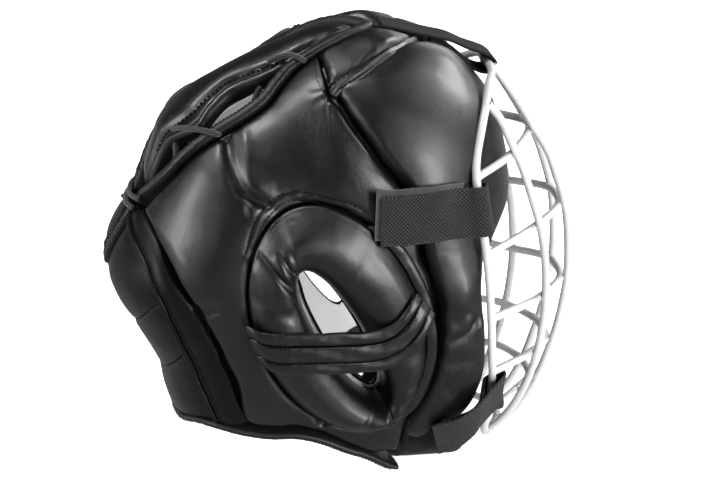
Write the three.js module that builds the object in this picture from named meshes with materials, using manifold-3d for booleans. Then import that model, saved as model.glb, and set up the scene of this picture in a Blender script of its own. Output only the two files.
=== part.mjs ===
// Martial arts head guard: padded leatherette shell, laced crown pad and a coated wire face grille.
// Millimetres. +X points to the front, +Y to the wearer's left and +Z up.
// Rows of the tables give the wearer's right half, and the left half mirrors it.
import * as THREE from 'three';
import { mergeVertices } from 'three/addons/utils/BufferGeometryUtils.js';
import Module from 'manifold-3d';

const wasm = await Module();
wasm.setup();

// ---- driving sizes ----
const padWall = 19; // padded wall of the side and brow pads
const topPadWall = 15;
const napeWall = 11;
const crownWall = 9;
const liningWall = 1.6;
const fitGap = 0.35; // between touching pieces
const seamInset = 0.5; // each pad stops this far from a seam's middle line
const bindingHalfWidth = 3.6;
const wireDiameter = 5;
const wireSides = 7;
const strapThickness = 1.8;
const sideStrapWidth = 30;
const lowerStrapWidth = 26;
const topStrapWidth = 24;
const laceDiameter = 3.2;

// Head form: sections through the ear axis. Angles are degrees about that axis, 0 ahead, 90 up.
const earAxis = { x: -20, z: 141.5 };
const earHalfWidth = 96;
const roundness = 2.5; // exponent of the rounded sections
const headForm = [
  { angle: -180, reach: 119.5, halfWidth: 97 },
  { angle: -174, reach: 125.3, halfWidth: 97 },
  { angle: -168, reach: 127, halfWidth: 97 },
  { angle: -150, reach: 123.5, halfWidth: 97 },
  { angle: -140, reach: 126.5, halfWidth: 96 },
  { angle: -130, reach: 140, halfWidth: 96 },
  { angle: -118, reach: 163, halfWidth: 95 },
  { angle: -90, reach: 196, halfWidth: 93 },
  { angle: -60, reach: 193, halfWidth: 92 },
  { angle: -30, reach: 168, halfWidth: 95 },
  { angle: -10, reach: 145, halfWidth: 97 },
  { angle: 5, reach: 125, halfWidth: 97 },
  { angle: 18, reach: 124, halfWidth: 96 },
  { angle: 40, reach: 134, halfWidth: 95 },
  { angle: 60, reach: 131.5, halfWidth: 92 },
  { angle: 80, reach: 125, halfWidth: 87 },
  { angle: 100, reach: 111, halfWidth: 82 },
  { angle: 120, reach: 108, halfWidth: 83 },
  { angle: 140, reach: 110.5, halfWidth: 89 },
  { angle: 155, reach: 108.5, halfWidth: 94 },
  { angle: 165, reach: 108.5, halfWidth: 97 },
  { angle: 174, reach: 113.5, halfWidth: 97 },
];

// ---- head form surface ----
const radians = Math.PI / 180;

function around(rows, column) {
  // smooth periodic curve through one column of a table of angles
  const count = rows.length;
  const row = (i) => {
    const turn = Math.floor(i / count);
    return { angle: rows[i - turn * count].angle + 360 * turn, value: rows[i - turn * count][column] };
  };
  const slope = (i) => (row(i + 1).value - row(i - 1).value) / (row(i + 1).angle - row(i - 1).angle);
  return (degrees) => {
    const first = rows[0].angle;
    const angle = degrees - 360 * Math.floor((degrees - first) / 360);
    let i = count - 1;
    while (rows[i].angle > angle) i -= 1;
    const [a, b] = [row(i), row(i + 1)];
    const step = b.angle - a.angle;
    const t = (angle - a.angle) / step;
    const [t2, t3] = [t * t, t * t * t];
    return (
      a.value * (2 * t3 - 3 * t2 + 1) +
      slope(i) * step * (t3 - 2 * t2 + t) +
      b.value * (3 * t2 - 2 * t3) +
      slope(i + 1) * step * (t3 - t2)
    );
  };
}

const reachAt = around(headForm, 'reach');
const formHalfWidth = around(headForm, 'halfWidth');
const halfWidthAt = (angle, open) =>
  earHalfWidth + (formHalfWidth(angle) - earHalfWidth) * THREE.MathUtils.smoothstep(open, 0, 0.7);

function formPoint(angle, lat) {
  // lat: 0 on the middle plane, -90 at the right ear, +90 at the left ear
  const open = Math.cos(Math.abs(lat) * radians);
  const radius = reachAt(angle) * open ** (2 / roundness);
  const halfWidth = halfWidthAt(angle, open) * Math.sin(Math.abs(lat) * radians) ** (2 / roundness);
  return new THREE.Vector3(
    earAxis.x + radius * Math.cos(angle * radians),
    Math.sign(lat) * halfWidth,
    earAxis.z + radius * Math.sin(angle * radians),
  );
}

function polar(x, z) {
  const [dx, dz] = [x - earAxis.x, z - earAxis.z];
  return { angle: Math.atan2(dz, dx) / radians, radius: Math.hypot(dx, dz) };
}

function sidePoint(x, z, side) {
  // the point of the form seen at x, z from the side
  const { angle, radius } = polar(x, z);
  const share = Math.min(radius / reachAt(angle), 1);
  const halfWidth = halfWidthAt(angle, share ** (roundness / 2));
  return new THREE.Vector3(x, side * halfWidth * (1 - share ** roundness) ** (1 / roundness), z);
}

function formLevel(p) {
  const { angle, radius } = polar(p.x, p.z);
  const share = radius / reachAt(angle);
  const halfWidth = halfWidthAt(angle, Math.min(share, 1) ** (roundness / 2));
  return share ** roundness + (Math.abs(p.y) / halfWidth) ** roundness;
}

function formNormal(p) {
  const step = 0.4;
  const slope = (axis) => {
    const shift = new THREE.Vector3().setComponent(axis, step);
    return formLevel(p.clone().add(shift)) - formLevel(p.clone().sub(shift));
  };
  return new THREE.Vector3(slope(0), slope(1), slope(2)).normalize();
}

const raised = (p, height) => p.clone().addScaledVector(formNormal(p), height);

// ---- solid builders ----
function solid(points, triangles) {
  const volume = triangles.reduce(
    (sum, [a, b, c]) => sum + points[a].dot(new THREE.Vector3().crossVectors(points[b], points[c])),
    0,
  );
  const faces = volume < 0 ? triangles.map(([a, b, c]) => [a, c, b]) : triangles;
  const geometry = new THREE.BufferGeometry();
  geometry.setAttribute('position', new THREE.Float32BufferAttribute(points.flatMap((p) => p.toArray()), 3));
  geometry.setIndex(faces.flat());
  geometry.computeVertexNormals();
  return geometry;
}

function slab(outer, inner, wrap = false) {
  // closed wall between two grids of points; wrap joins its last row to its first
  const rows = outer.length;
  const columns = outer[0].length;
  const points = [...outer.flat(), ...inner.flat()];
  const at = (layer, i, j) => layer * rows * columns + (i % rows) * columns + j;
  const triangles = [];
  const quad = (a, b, c, d) => triangles.push([a, b, c], [a, c, d]);
  const lastRow = wrap ? rows : rows - 1;
  for (let i = 0; i < lastRow; i += 1) {
    for (let j = 0; j < columns - 1; j += 1) {
      quad(at(0, i, j), at(0, i + 1, j), at(0, i + 1, j + 1), at(0, i, j + 1));
      quad(at(1, i, j), at(1, i, j + 1), at(1, i + 1, j + 1), at(1, i + 1, j));
    }
    quad(at(0, i, 0), at(1, i, 0), at(1, i + 1, 0), at(0, i + 1, 0));
    quad(at(0, i, columns - 1), at(0, i + 1, columns - 1), at(1, i + 1, columns - 1), at(1, i, columns - 1));
  }
  if (!wrap) {
    for (let j = 0; j < columns - 1; j += 1) {
      quad(at(0, 0, j), at(0, 0, j + 1), at(1, 0, j + 1), at(1, 0, j));
      quad(at(0, rows - 1, j), at(1, rows - 1, j), at(1, rows - 1, j + 1), at(0, rows - 1, j + 1));
    }
  }
  return solid(points, triangles);
}

function sweep(stations, wrap = false) {
  // a station has an origin p, axes a and b, and a section of [along a, along b] pairs
  const sides = stations[0].section.length;
  const points = stations.flatMap(({ p, a, b, section }) =>
    section.map(([s, t]) => p.clone().addScaledVector(a, s).addScaledVector(b, t)),
  );
  const triangles = [];
  const count = stations.length;
  const last = wrap ? count : count - 1;
  for (let i = 0; i < last; i += 1) {
    const [row, next] = [i * sides, ((i + 1) % count) * sides];
    for (let j = 0; j < sides; j += 1) {
      const k = (j + 1) % sides;
      triangles.push([row + j, next + j, next + k], [row + j, next + k, row + k]);
    }
  }
  if (!wrap) {
    const cap = (section) => {
      // triangles of the section, wound the way the section runs
      const outline = section.map(([s, t]) => new THREE.Vector2(s, t));
      const faces = THREE.ShapeUtils.triangulateShape(outline, []);
      const clockwise = THREE.ShapeUtils.isClockWise(outline);
      const flipped = THREE.ShapeUtils.isClockWise(faces[0].map((i) => outline[i])) !== clockwise;
      return flipped ? faces.map(([a, b, c]) => [a, c, b]) : faces;
    };
    const end = (count - 1) * sides;
    for (const [a, b, c] of cap(stations[0].section)) triangles.push([a, b, c]);
    for (const [a, b, c] of cap(stations[count - 1].section)) triangles.push([end + a, end + c, end + b]);
  }
  return solid(points, triangles);
}

function cord(route, diameter, sides, steps) {
  const section = new THREE.Shape();
  for (let i = 0; i < sides; i += 1) {
    const turn = (2 * Math.PI * i) / sides;
    const [x, y] = [(Math.cos(turn) * diameter) / 2, (Math.sin(turn) * diameter) / 2];
    if (i === 0) section.moveTo(x, y);
    else section.lineTo(x, y);
  }
  const curve = new THREE.CatmullRomCurve3(route.map((p) => new THREE.Vector3(...p)), false, 'centripetal');
  const tube = new THREE.ExtrudeGeometry(section, { steps, extrudePath: curve, bevelEnabled: false });
  tube.deleteAttribute('normal');
  tube.deleteAttribute('uv');
  return mergeVertices(tube, 1e-3);
}

function toManifold(geometry) {
  return new wasm.Manifold(
    new wasm.Mesh({
      numProp: 3,
      vertProperties: Float32Array.from(geometry.attributes.position.array),
      triVerts: Uint32Array.from(geometry.index.array),
    }),
  );
}

function fromManifold(body) {
  const { vertProperties, triVerts } = body.getMesh();
  const geometry = new THREE.BufferGeometry();
  geometry.setAttribute('position', new THREE.BufferAttribute(vertProperties, 3));
  geometry.setIndex(new THREE.BufferAttribute(triVerts, 1));
  geometry.computeVertexNormals();
  return geometry;
}

// ---- materials ----
const leatherette = () => new THREE.MeshStandardMaterial({ color: 0x17171a, roughness: 0.45, metalness: 0 });
const tape = () => new THREE.MeshStandardMaterial({ color: 0x202023, roughness: 0.8, metalness: 0 });
const webbing = () => new THREE.MeshStandardMaterial({ color: 0x2c2c2f, roughness: 0.95, metalness: 0 });
const liner = () => new THREE.MeshStandardMaterial({ color: 0xd6d8db, roughness: 0.9, metalness: 0 });
const coatedWire = () => new THREE.MeshStandardMaterial({ color: 0xf2f2f0, roughness: 0.35, metalness: 0 });

const headguard = new THREE.Group();
function add(name, geometry, material) {
  const mesh = new THREE.Mesh(geometry, material);
  mesh.name = name;
  headguard.add(mesh);
}

const sides = [
  { name: 'right', sign: -1 },
  { name: 'left', sign: 1 },
];

// ---- pads ----
// How a padded edge rolls down to its seam: distance from the edge and drop of the surface.
const rolledEdge = [
  { inward: 0, drop: 6 },
  { inward: 2.4, drop: 2.2 },
  { inward: 7.5, drop: 0 },
];

function edgeStations(length, middle) {
  // shares of a length, close together at both rolled edges
  const squeeze = Math.min(1, length / 26);
  const near = rolledEdge.map(({ inward }) => ((seamInset + inward) * squeeze) / length);
  const inside = Array.from({ length: middle }, (_, i) => {
    const share = (i + 1) / (middle + 1);
    return near[2] + (1 - 2 * near[2]) * share;
  });
  return [...near, ...inside, ...near.map((share) => 1 - share).reverse()];
}

const dropAt = (index, count) => {
  const fromEdge = Math.min(index, count - 1 - index);
  return fromEdge < rolledEdge.length ? rolledEdge[fromEdge].drop : 0;
};

const mix = (a, b, t) => a + (b - a) * t;

function chart({ angle, lat }) {
  // flat map of one side of the form, with the ear at its middle and the middle plane on its rim
  const radius = 90 - lat;
  return new THREE.Vector2(radius * Math.cos(angle * radians), radius * Math.sin(angle * radians));
}

function chartPoint(q, side) {
  return formPoint(Math.atan2(q.y, q.x) / radians, side * (90 - q.length()));
}

function padWallFrom(grid, { rise, wall, drop }) {
  // grid of form points; the outer face swells by rise and rolls down by drop(i, j) at its seams
  const outer = grid.map((row, i) => row.map((p, j) => raised(p, rise - drop(i, j))));
  const inner = grid.map((row) => row.map((p) => raised(p, -wall)));
  return [outer, inner];
}

// Brow pad: an arch from cheek to cheek over the face opening. Rows climb from the right cheek
// to the middle of the forehead, between the face edge and the crease or forehead rib behind it.
const browRows = [
  { faceAngle: -62.4, faceLat: 55.6, backAngle: -65.4, backLat: 57.7 },
  { faceAngle: -57.6, faceLat: 53.4, backAngle: -56.5, backLat: 60.4 },
  { faceAngle: -47.3, faceLat: 48.8, backAngle: -44.8, backLat: 63.9 },
  { faceAngle: -38.9, faceLat: 48.8, backAngle: -32.6, backLat: 66.9 },
  { faceAngle: -31.3, faceLat: 52, backAngle: -19.8, backLat: 68.4 },
  { faceAngle: -23.8, faceLat: 54, backAngle: -8.7, backLat: 69 },
  { faceAngle: -16.2, faceLat: 54.3, backAngle: 2.2, backLat: 67.4 },
  { faceAngle: -9.8, faceLat: 52.5, backAngle: 12.9, backLat: 66.8 },
  { faceAngle: -3, faceLat: 47.9, backAngle: 32.8, backLat: 67.9 },
  { faceAngle: 0.5, faceLat: 41, backAngle: 51, backLat: 65.2 },
  { faceAngle: 3, faceLat: 35.5, backAngle: 65, backLat: 61.5 },
  { faceAngle: 4.8, faceLat: 29.5, backAngle: 77.5, backLat: 52.5 },
  { faceAngle: 6, faceLat: 23, backAngle: 86.6, backLat: 38.8 },
  { faceAngle: 7, faceLat: 15.5, backAngle: 77.5, backLat: 32.8 },
  { faceAngle: 7.7, faceLat: 8, backAngle: 68, backLat: 18 },
  { faceAngle: 8, faceLat: 0, backAngle: 59, backLat: 0 },
];

function mirroredRows(rows, latColumns) {
  // right half as written, then the left half with its lats turned round
  const flip = (row, sign) => {
    const turned = { ...row };
    for (const column of latColumns) turned[column] = sign * row[column];
    return turned;
  };
  const right = rows.map((row) => flip(row, -1));
  const left = rows.slice(0, -1).map((row) => flip(row, 1)).reverse();
  return [...right, ...left];
}

const edgeDrops = rolledEdge.map(({ drop }) => drop);
const endDropAt = (index, count) => (index === 0 || index === count - 1 ? edgeDrops[0] : 0);

function rowsPad(rows, [from, to], { middle, rise, wall }) {
  // each row runs across the pad from one edge of the table to the other
  const grid = rows.map((row) => {
    const ends = [from, to].map((edge) => ({ angle: row[`${edge}Angle`], lat: row[`${edge}Lat`] }));
    const [a, b] = ends.map(({ angle, lat }) => formPoint(angle, lat));
    return edgeStations(a.distanceTo(b) * 1.06, middle).map((t) =>
      formPoint(mix(ends[0].angle, ends[1].angle, t), mix(ends[0].lat, ends[1].lat, t)),
    );
  });
  const drop = (i, j) => Math.min(edgeDrops[0], endDropAt(i, grid.length) + dropAt(j, grid[0].length));
  return padWallFrom(grid, { rise, wall, drop });
}

const browGrids = rowsPad(
  mirroredRows(browRows, ['faceLat', 'backLat']),
  ['face', 'back'],
  { middle: 3, rise: 1.5, wall: padWall },
);
add('brow_pad', slab(...browGrids), leatherette());

// Top front pad: between the forehead rib and the front of the crown opening.
const topFrontRows = [
  { ribAngle: 87.4, ribLat: 37.5, rimAngle: 89.2, rimLat: 16.2 },
  { ribAngle: 82.6, ribLat: 35.3, rimAngle: 86, rimLat: 14.3 },
  { ribAngle: 77.6, ribLat: 32, rimAngle: 82, rimLat: 12.2 },
  { ribAngle: 68.5, ribLat: 17.6, rimAngle: 74.8, rimLat: 6.6 },
  { ribAngle: 60, ribLat: 0, rimAngle: 70.2, rimLat: 0 },
];
const topFrontGrids = rowsPad(
  mirroredRows(topFrontRows, ['ribLat', 'rimLat']),
  ['rib', 'rim'],
  { middle: 1, rise: 1, wall: topPadWall },
);
add('top_front_pad', slab(...topFrontGrids), leatherette());

// ---- ear openings ----
// Ellipses in side view: centre, half axes and lean of the long axis from upright, top to the back.
const ringOutline = { x: -15, z: 108, long: 76, short: 50, lean: 21 };
const earHole = { x: -12.5, z: 95.9, long: 51.2, short: 13.1, lean: 28.5 };

function ellipsePoint({ x, z, long, short, lean }, turn, growth = 0) {
  const [u, v] = [(long + growth) * Math.cos(turn), (short + growth) * Math.sin(turn)];
  const [s, c] = [Math.sin(lean * radians), Math.cos(lean * radians)];
  return { x: x - u * s + v * c, z: z + u * c + v * s };
}

function turnTowards(ellipse, x, z) {
  // turn of the ellipse point that lies in the direction of x, z
  const [s, c] = [Math.sin(ellipse.lean * radians), Math.cos(ellipse.lean * radians)];
  const [dx, dz] = [x - ellipse.x, z - ellipse.z];
  return Math.atan2((dx * c + dz * s) / ellipse.short, (dz * c - dx * s) / ellipse.long);
}

function chartOf({ x, z }) {
  const { angle, radius } = polar(x, z);
  const open = Math.min(radius / reachAt(angle), 1) ** (roundness / 2);
  return chart({ angle, lat: Math.acos(open) / radians });
}

// ---- side pads ----
// Outline of a side pad, from the rear end of the crown opening forwards and round.
const sideOutline = [
  { angle: 166.8, lat: 13.4 },
  { angle: 158.4, lat: 19.9 },
  { angle: 151.6, lat: 25 },
  { angle: 145, lat: 28.6 },
  { angle: 137, lat: 31.6 },
  { angle: 127, lat: 33.4 },
  { angle: 117, lat: 33.5 },
  { angle: 108.3, lat: 31 },
  { angle: 101.6, lat: 24.8 },
  { angle: 96, lat: 19.3 },
  { angle: 89.7, lat: 15.8 },
  { angle: 89.2, lat: 25 },
  { angle: 88.2, lat: 39 },
  { angle: 79, lat: 53.2 },
  { angle: 65.5, lat: 62.6 },
  { angle: 51, lat: 66.2 },
  { angle: 33.2, lat: 69.1 },
  { angle: 13.2, lat: 68 },
  { angle: -3.2, lat: 69.5 },
  { angle: -20, lat: 69.5 },
  { angle: -32.8, lat: 68 },
  { angle: -44, lat: 65.2 },
  { angle: -55.5, lat: 61.6 },
  { angle: -65.8, lat: 58.8 },
  { angle: -71, lat: 56.6 },
  { angle: -78, lat: 55.6 },
  { angle: -85.5, lat: 59.3 },
  { angle: -93, lat: 61.4 },
  { angle: -101, lat: 61 },
  { angle: -108, lat: 57.6 },
  { angle: -115.8, lat: 52.9 },
  { angle: -125.5, lat: 54.6 },
  { angle: -139, lat: 52.2 },
  { angle: -151.4, lat: 53.2 },
  { angle: -162.6, lat: 53.4 },
  { angle: -171.5, lat: 50.6 },
  { angle: 179.8, lat: 42.8 },
  { angle: 170.8, lat: 26 },
];
const sideRise = 2;
const ringClearance = 1.4;

function fromHoleGrid(outline, ellipse, growth, columns) {
  // chart points on straight chart lines from the ellipse out to the outline
  return outline.map((row) => {
    const edge = formPoint(row.angle, row.lat);
    const turn = turnTowards(ellipse, edge.x, edge.z);
    const near = chartOf(ellipsePoint(ellipse, turn, growth));
    const far = chart(row);
    return columns(near, far).map((t) => near.clone().lerp(far, t));
  });
}

for (const { name, sign } of sides) {
  const grid = fromHoleGrid(sideOutline, ringOutline, ringClearance, (near, far) =>
    edgeStations(chartPoint(near, 1).distanceTo(chartPoint(far, 1)) * 1.05, 1),
  ).map((row) => row.map((q) => chartPoint(q, sign)));
  const columns = grid[0].length;
  const walls = padWallFrom(grid, { rise: sideRise, wall: padWall, drop: (i, j) => dropAt(j, columns) });
  add(`side_pad_${name}`, slab(...walls, true), leatherette());
}

// ---- nape pad ----
// Three stitched bulges between two piped seams, with a flat strip outside each seam.
// Rows run downwards. Angles pass 180 at the back; ease bends a row between piping and middle.
const napeRows = [
  { seamAngle: 168.5, seamLat: 11.6, pipeAngle: 173, pipeLat: 6.2, midAngle: 191.6, ease: 2.6, bulge: 0 },
  { seamAngle: 170.6, seamLat: 22.1, pipeAngle: 176, pipeLat: 16, midAngle: 194, ease: 1.8, bulge: 1.4 },
  { seamAngle: 174.4, seamLat: 32.5, pipeAngle: 178.6, pipeLat: 26, midAngle: 197, ease: 1.6, bulge: 1.6 },
  { seamAngle: 181, seamLat: 42, pipeAngle: 183.5, pipeLat: 36, midAngle: 200.5, ease: 1.5, bulge: 1.6 },
  { seamAngle: 189, seamLat: 49.3, pipeAngle: 193, pipeLat: 42, midAngle: 206.5, ease: 1.5, bulge: 0 },
  { seamAngle: 197.6, seamLat: 52.3, pipeAngle: 203.5, pipeLat: 41, midAngle: 214, ease: 1.6, bulge: 1.6 },
  { seamAngle: 208.6, seamLat: 51.7, pipeAngle: 214.6, pipeLat: 38.6, midAngle: 221.5, ease: 1.8, bulge: 0 },
  { seamAngle: 221, seamLat: 50.9, pipeAngle: 224, pipeLat: 38.8, midAngle: 226, ease: 2, bulge: 1.4 },
  { seamAngle: 232, seamLat: 52.8, pipeAngle: 229.5, pipeLat: 40, midAngle: 228.6, ease: 2, bulge: 0.8 },
  { seamAngle: 242, seamLat: 52.7, pipeAngle: 235.6, pipeLat: 41.5, midAngle: 231.6, ease: 4, bulge: 0 },
];
const napeRise = 1;

function napePoint(row, across) {
  // across runs from -2 at the right seam over -1 at the piping to 0 in the middle and back out
  const share = Math.abs(across);
  const side = Math.sign(across);
  if (share >= 1) {
    const t = share - 1;
    return formPoint(mix(row.pipeAngle, row.seamAngle, t), side * mix(row.pipeLat, row.seamLat, t));
  }
  return formPoint(mix(row.midAngle, row.pipeAngle, share ** row.ease), side * row.pipeLat * share);
}

const napeAcross = [-2, -1.5, -1.05, -0.8, -0.4, 0, 0.4, 0.8, 1.05, 1.5, 2];
const napeGrid = napeRows.map((row) => napeAcross.map((across) => napePoint(row, across)));
const napeBulge = napeRows.map((row) => napeAcross.map((across) => (Math.abs(across) < 1 ? row.bulge : 0)));
add(
  'nape_pad',
  slab(
    napeGrid.map((row, i) => row.map((p, j) => raised(p, napeRise + napeBulge[i][j]))),
    napeGrid.map((row) => row.map((p) => raised(p, -napeWall))),
  ),
  leatherette(),
);

// ---- crown pad ----
// Rows run from the front of the crown opening to the tongue tucked inside the nape pad.
const crownRows = [
  { angle: 77.5, lat: 1.6, sunk: 3 },
  { angle: 82, lat: 5.2, sunk: 2.5 },
  { angle: 88, lat: 9, sunk: 2 },
  { angle: 94, lat: 11, sunk: 1.5 },
  { angle: 99, lat: 12.8, sunk: 1 },
  { angle: 104, lat: 14.5, sunk: 1 },
  { angle: 109, lat: 14.6, sunk: 1 },
  { angle: 114, lat: 13.2, sunk: 1 },
  { angle: 119.5, lat: 12.6, sunk: 1 },
  { angle: 125, lat: 15.2, sunk: 1 },
  { angle: 129, lat: 18, sunk: 1 },
  { angle: 132.5, lat: 20.8, sunk: 1 },
  { angle: 136.5, lat: 19.8, sunk: 1 },
  { angle: 140.5, lat: 15.5, sunk: 1 },
  { angle: 146, lat: 10, sunk: 1 },
  { angle: 152, lat: 7.5, sunk: 1.5 },
  { angle: 158, lat: 6, sunk: 2 },
  { angle: 162, lat: 4.8, sunk: 3.5 },
  { angle: 165.5, lat: 3, sunk: 6 },
  { angle: 169, lat: 1.2, sunk: 10 },
  { angle: 173, lat: 3.6, sunk: 14 },
  { angle: 181, lat: 4.6, sunk: 14.5 },
];
const crownAcross = [-1, -0.86, -0.45, 0, 0.45, 0.86, 1];
const crownEdgeDrop = 3;
const crownRoll = [0, 0, 2.6, 3.5, 2.6, 0, 0]; // height of the padded roll down the middle
const dropAtCrown = (j, count) => (j === 0 || j === count - 1 ? crownEdgeDrop : 0);
const crownGrid = crownRows.map(({ angle, lat }) => crownAcross.map((share) => formPoint(angle, share * lat)));
add(
  'crown_pad',
  slab(
    crownGrid.map((row, i) =>
      row.map((p, j) => {
        const swell = crownRoll[j] * Math.min(1, crownRows[i].lat / 11);
        return raised(p, swell - dropAtCrown(j, row.length) - crownRows[i].sunk);
      }),
    ),
    crownGrid.map((row, i) => row.map((p) => raised(p, -crownWall - crownRows[i].sunk))),
  ),
  leatherette(),
);

// ---- bindings ----
function onForm(route, count, closed = false) {
  // evenly spaced frames along a curve through form points: a lies across the curve, b points out
  const curve = new THREE.CatmullRomCurve3(
    route.map(({ angle, lat }) => formPoint(angle, lat)), closed, 'centripetal',
  );
  const shares = Array.from({ length: count }, (_, i) => i / (closed ? count : count - 1));
  return shares.map((t) => {
    const p = curve.getPointAt(t);
    const along = curve.getTangentAt(t);
    const b = formNormal(p);
    const a = new THREE.Vector3().crossVectors(along, b).normalize();
    return { p, a, b: new THREE.Vector3().crossVectors(a, along).normalize(), t };
  });
}

function mirroredRoute(rows) {
  const right = rows.map(({ angle, lat }) => ({ angle, lat: -lat }));
  const left = rows.filter(({ lat }) => lat !== 0).reverse();
  return [...right, ...left];
}

// A binding folds over a pad's edge: half of its section, from its foot to its crown.
const bindingSection = (half, proud, deep) => [
  [-half + 0.4, -deep], [-half, proud - 3.4], [-half * 0.75, proud - 1], [0, proud],
  [half * 0.75, proud - 1], [half, proud - 3.4], [half - 0.4, -deep],
];

function binding(name, route, { half, proud, deep, count, pucker }) {
  const stations = onForm(mirroredRoute(route), count).map((station, i) => ({
    ...station,
    section: bindingSection(half, proud - (i % 2 ? pucker : 0), deep),
  }));
  add(name, sweep(stations), tape());
}

const rimRoute = [
  { angle: 168.8, lat: 3.4 }, { angle: 165.6, lat: 6.2 }, { angle: 160.8, lat: 12.2 }, { angle: 156, lat: 17.4 },
  { angle: 150.4, lat: 22.2 }, { angle: 144, lat: 25.8 }, { angle: 136, lat: 28.8 }, { angle: 126.5, lat: 30.2 },
  { angle: 117, lat: 30.4 }, { angle: 109.5, lat: 28 }, { angle: 103.5, lat: 22 },
  { angle: 98, lat: 16.5 }, { angle: 88.5, lat: 12.7 }, { angle: 82, lat: 9 }, { angle: 76.5, lat: 4.6 },
  { angle: 73.2, lat: 0 },
];
const half = bindingHalfWidth;
binding('rim_binding', rimRoute, { half, proud: 1.6, deep: 13, count: 53, pucker: 0.4 });

const napeBindingRoute = [
  { angle: 171, lat: 2.9 }, { angle: 176, lat: 2.7 }, { angle: 181, lat: 2.3 }, { angle: 185.5, lat: 1.8 },
  { angle: 188, lat: 0.8 }, { angle: 188.7, lat: 0 },
];
binding('nape_binding', napeBindingRoute, { half, proud: 2.4, deep: 10.5, count: 21, pucker: 0 });

const hemRoute = [
  { angle: -75, lat: 48.6 }, { angle: -79.5, lat: 53.6 }, { angle: -84.5, lat: 56.4 }, { angle: -92.5, lat: 59 },
  { angle: -100.5, lat: 58.2 },
  { angle: -107.5, lat: 54.3 }, { angle: -115.5, lat: 48.3 }, { angle: -122, lat: 40.5 }, { angle: -125.8, lat: 30 },
  { angle: -126.8, lat: 17 }, { angle: -126.5, lat: 0 },
];
binding('hem_binding', hemRoute, { half, proud: 2.6, deep: 13, count: 37, pucker: 0.4 });

// ---- ear rings ----
// Section of a padded ring: share of the way from the hole to the outline, and height on the form.
const ringSection = [
  { across: 1, height: -2 },
  { across: 0.93, height: 3.5 },
  { across: 0.75, height: 8 },
  { across: 0.5, height: 9.5 },
  { across: 0.25, height: 7.5 },
  { across: 0.07, height: 2 },
  { across: 0, height: -5 },
  { across: 0.02, height: -18 },
  { across: 1, height: -18 },
];
const ringStations = 28;
const gathers = [
  { turn: 0.9, reach: 0.7, depth: 2 },
  { turn: 3.5, reach: 0.9, depth: 2.4 },
];

function gatherAt(turn, index) {
  // the cover is drawn in at every other station near the middle of a gather
  if (index % 2 === 0) return 0;
  const depths = gathers.map((gather) => {
    const away = Math.abs(((turn - gather.turn + 3 * Math.PI) % (2 * Math.PI)) - Math.PI);
    return gather.depth * (1 - away / gather.reach);
  });
  return Math.max(0, ...depths);
}

function ringSolid(rings) {
  // closed tube through rings of points, the last joined to the first
  const sidesCount = rings[0].length;
  const triangles = [];
  for (let i = 0; i < rings.length; i += 1) {
    const [row, next] = [i * sidesCount, ((i + 1) % rings.length) * sidesCount];
    for (let j = 0; j < sidesCount; j += 1) {
      const k = (j + 1) % sidesCount;
      triangles.push([row + j, next + j, next + k], [row + j, next + k, row + k]);
    }
  }
  return solid(rings.flat(), triangles);
}

for (const { name, sign } of sides) {
  const rings = Array.from({ length: ringStations }, (_, i) => {
    const turn = (2 * Math.PI * i) / ringStations;
    const hole = ellipsePoint(earHole, turn);
    const edge = ellipsePoint(ringOutline, turn);
    return ringSection.map(({ across, height }) => {
      const p = sidePoint(mix(hole.x, edge.x, across), mix(hole.z, edge.z, across), sign);
      return raised(p, height > 3 ? height - gatherAt(turn, i) : height);
    });
  });
  add(`ear_ring_${name}`, ringSolid(rings), leatherette());
}

// ---- ear straps ----
// Middle line over the ring in side view, with the half width vector and the height on the form.
const earStrapRows = [
  { x: -66.5, z: 97.5, dx: -4.4, dz: 12.4, lift: 2.8 },
  { x: -63, z: 98.5, dx: -4.5, dz: 12.8, lift: 6.9 },
  { x: -57, z: 96.5, dx: -4.2, dz: 13.2, lift: 10.2 },
  { x: -40, z: 95.8, dx: 0, dz: 13, lift: 11.2 },
  { x: -16, z: 95.2, dx: 0, dz: 13, lift: 11.6 },
  { x: 7, z: 95.3, dx: -1.4, dz: 13, lift: 11.2 },
  { x: 19, z: 101.2, dx: -3.6, dz: 12, lift: 11.6 },
  { x: 26.2, z: 109, dx: -5.4, dz: 9.8, lift: 11.2 },
  { x: 31.5, z: 116.5, dx: -6, dz: 8, lift: 9 },
  { x: 34.6, z: 119.9, dx: -6, dz: 7.2, lift: 5.6 },
];
// Three padded ribs across the strap, as shares of its half width, with two grooves between them.
const earStrapRibs = [
  [-1, 0], [-0.96, 2.6], [-0.68, 3.8], [-0.42, 2.8], [-0.34, 1.4], [-0.26, 3],
  [0, 4.2], [0.26, 3], [0.34, 1.4], [0.42, 2.8], [0.68, 3.8], [0.96, 2.6], [1, 0],
];

for (const { name, sign } of sides) {
  const stations = earStrapRows.map(({ x, z, dx, dz, lift }) => {
    const p = raised(sidePoint(x, z, sign), lift);
    const half = Math.hypot(dx, dz);
    const b = new THREE.Vector3(0, sign, 0).lerp(formNormal(p), 0.5).normalize();
    const a = new THREE.Vector3(dx, 0, dz).normalize();
    a.addScaledVector(b, -a.dot(b)).normalize();
    return { p, a, b, section: earStrapRibs.map(([share, height]) => [share * half, height]) };
  });
  add(`ear_strap_${name}`, sweep(stations), leatherette());
}

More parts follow.
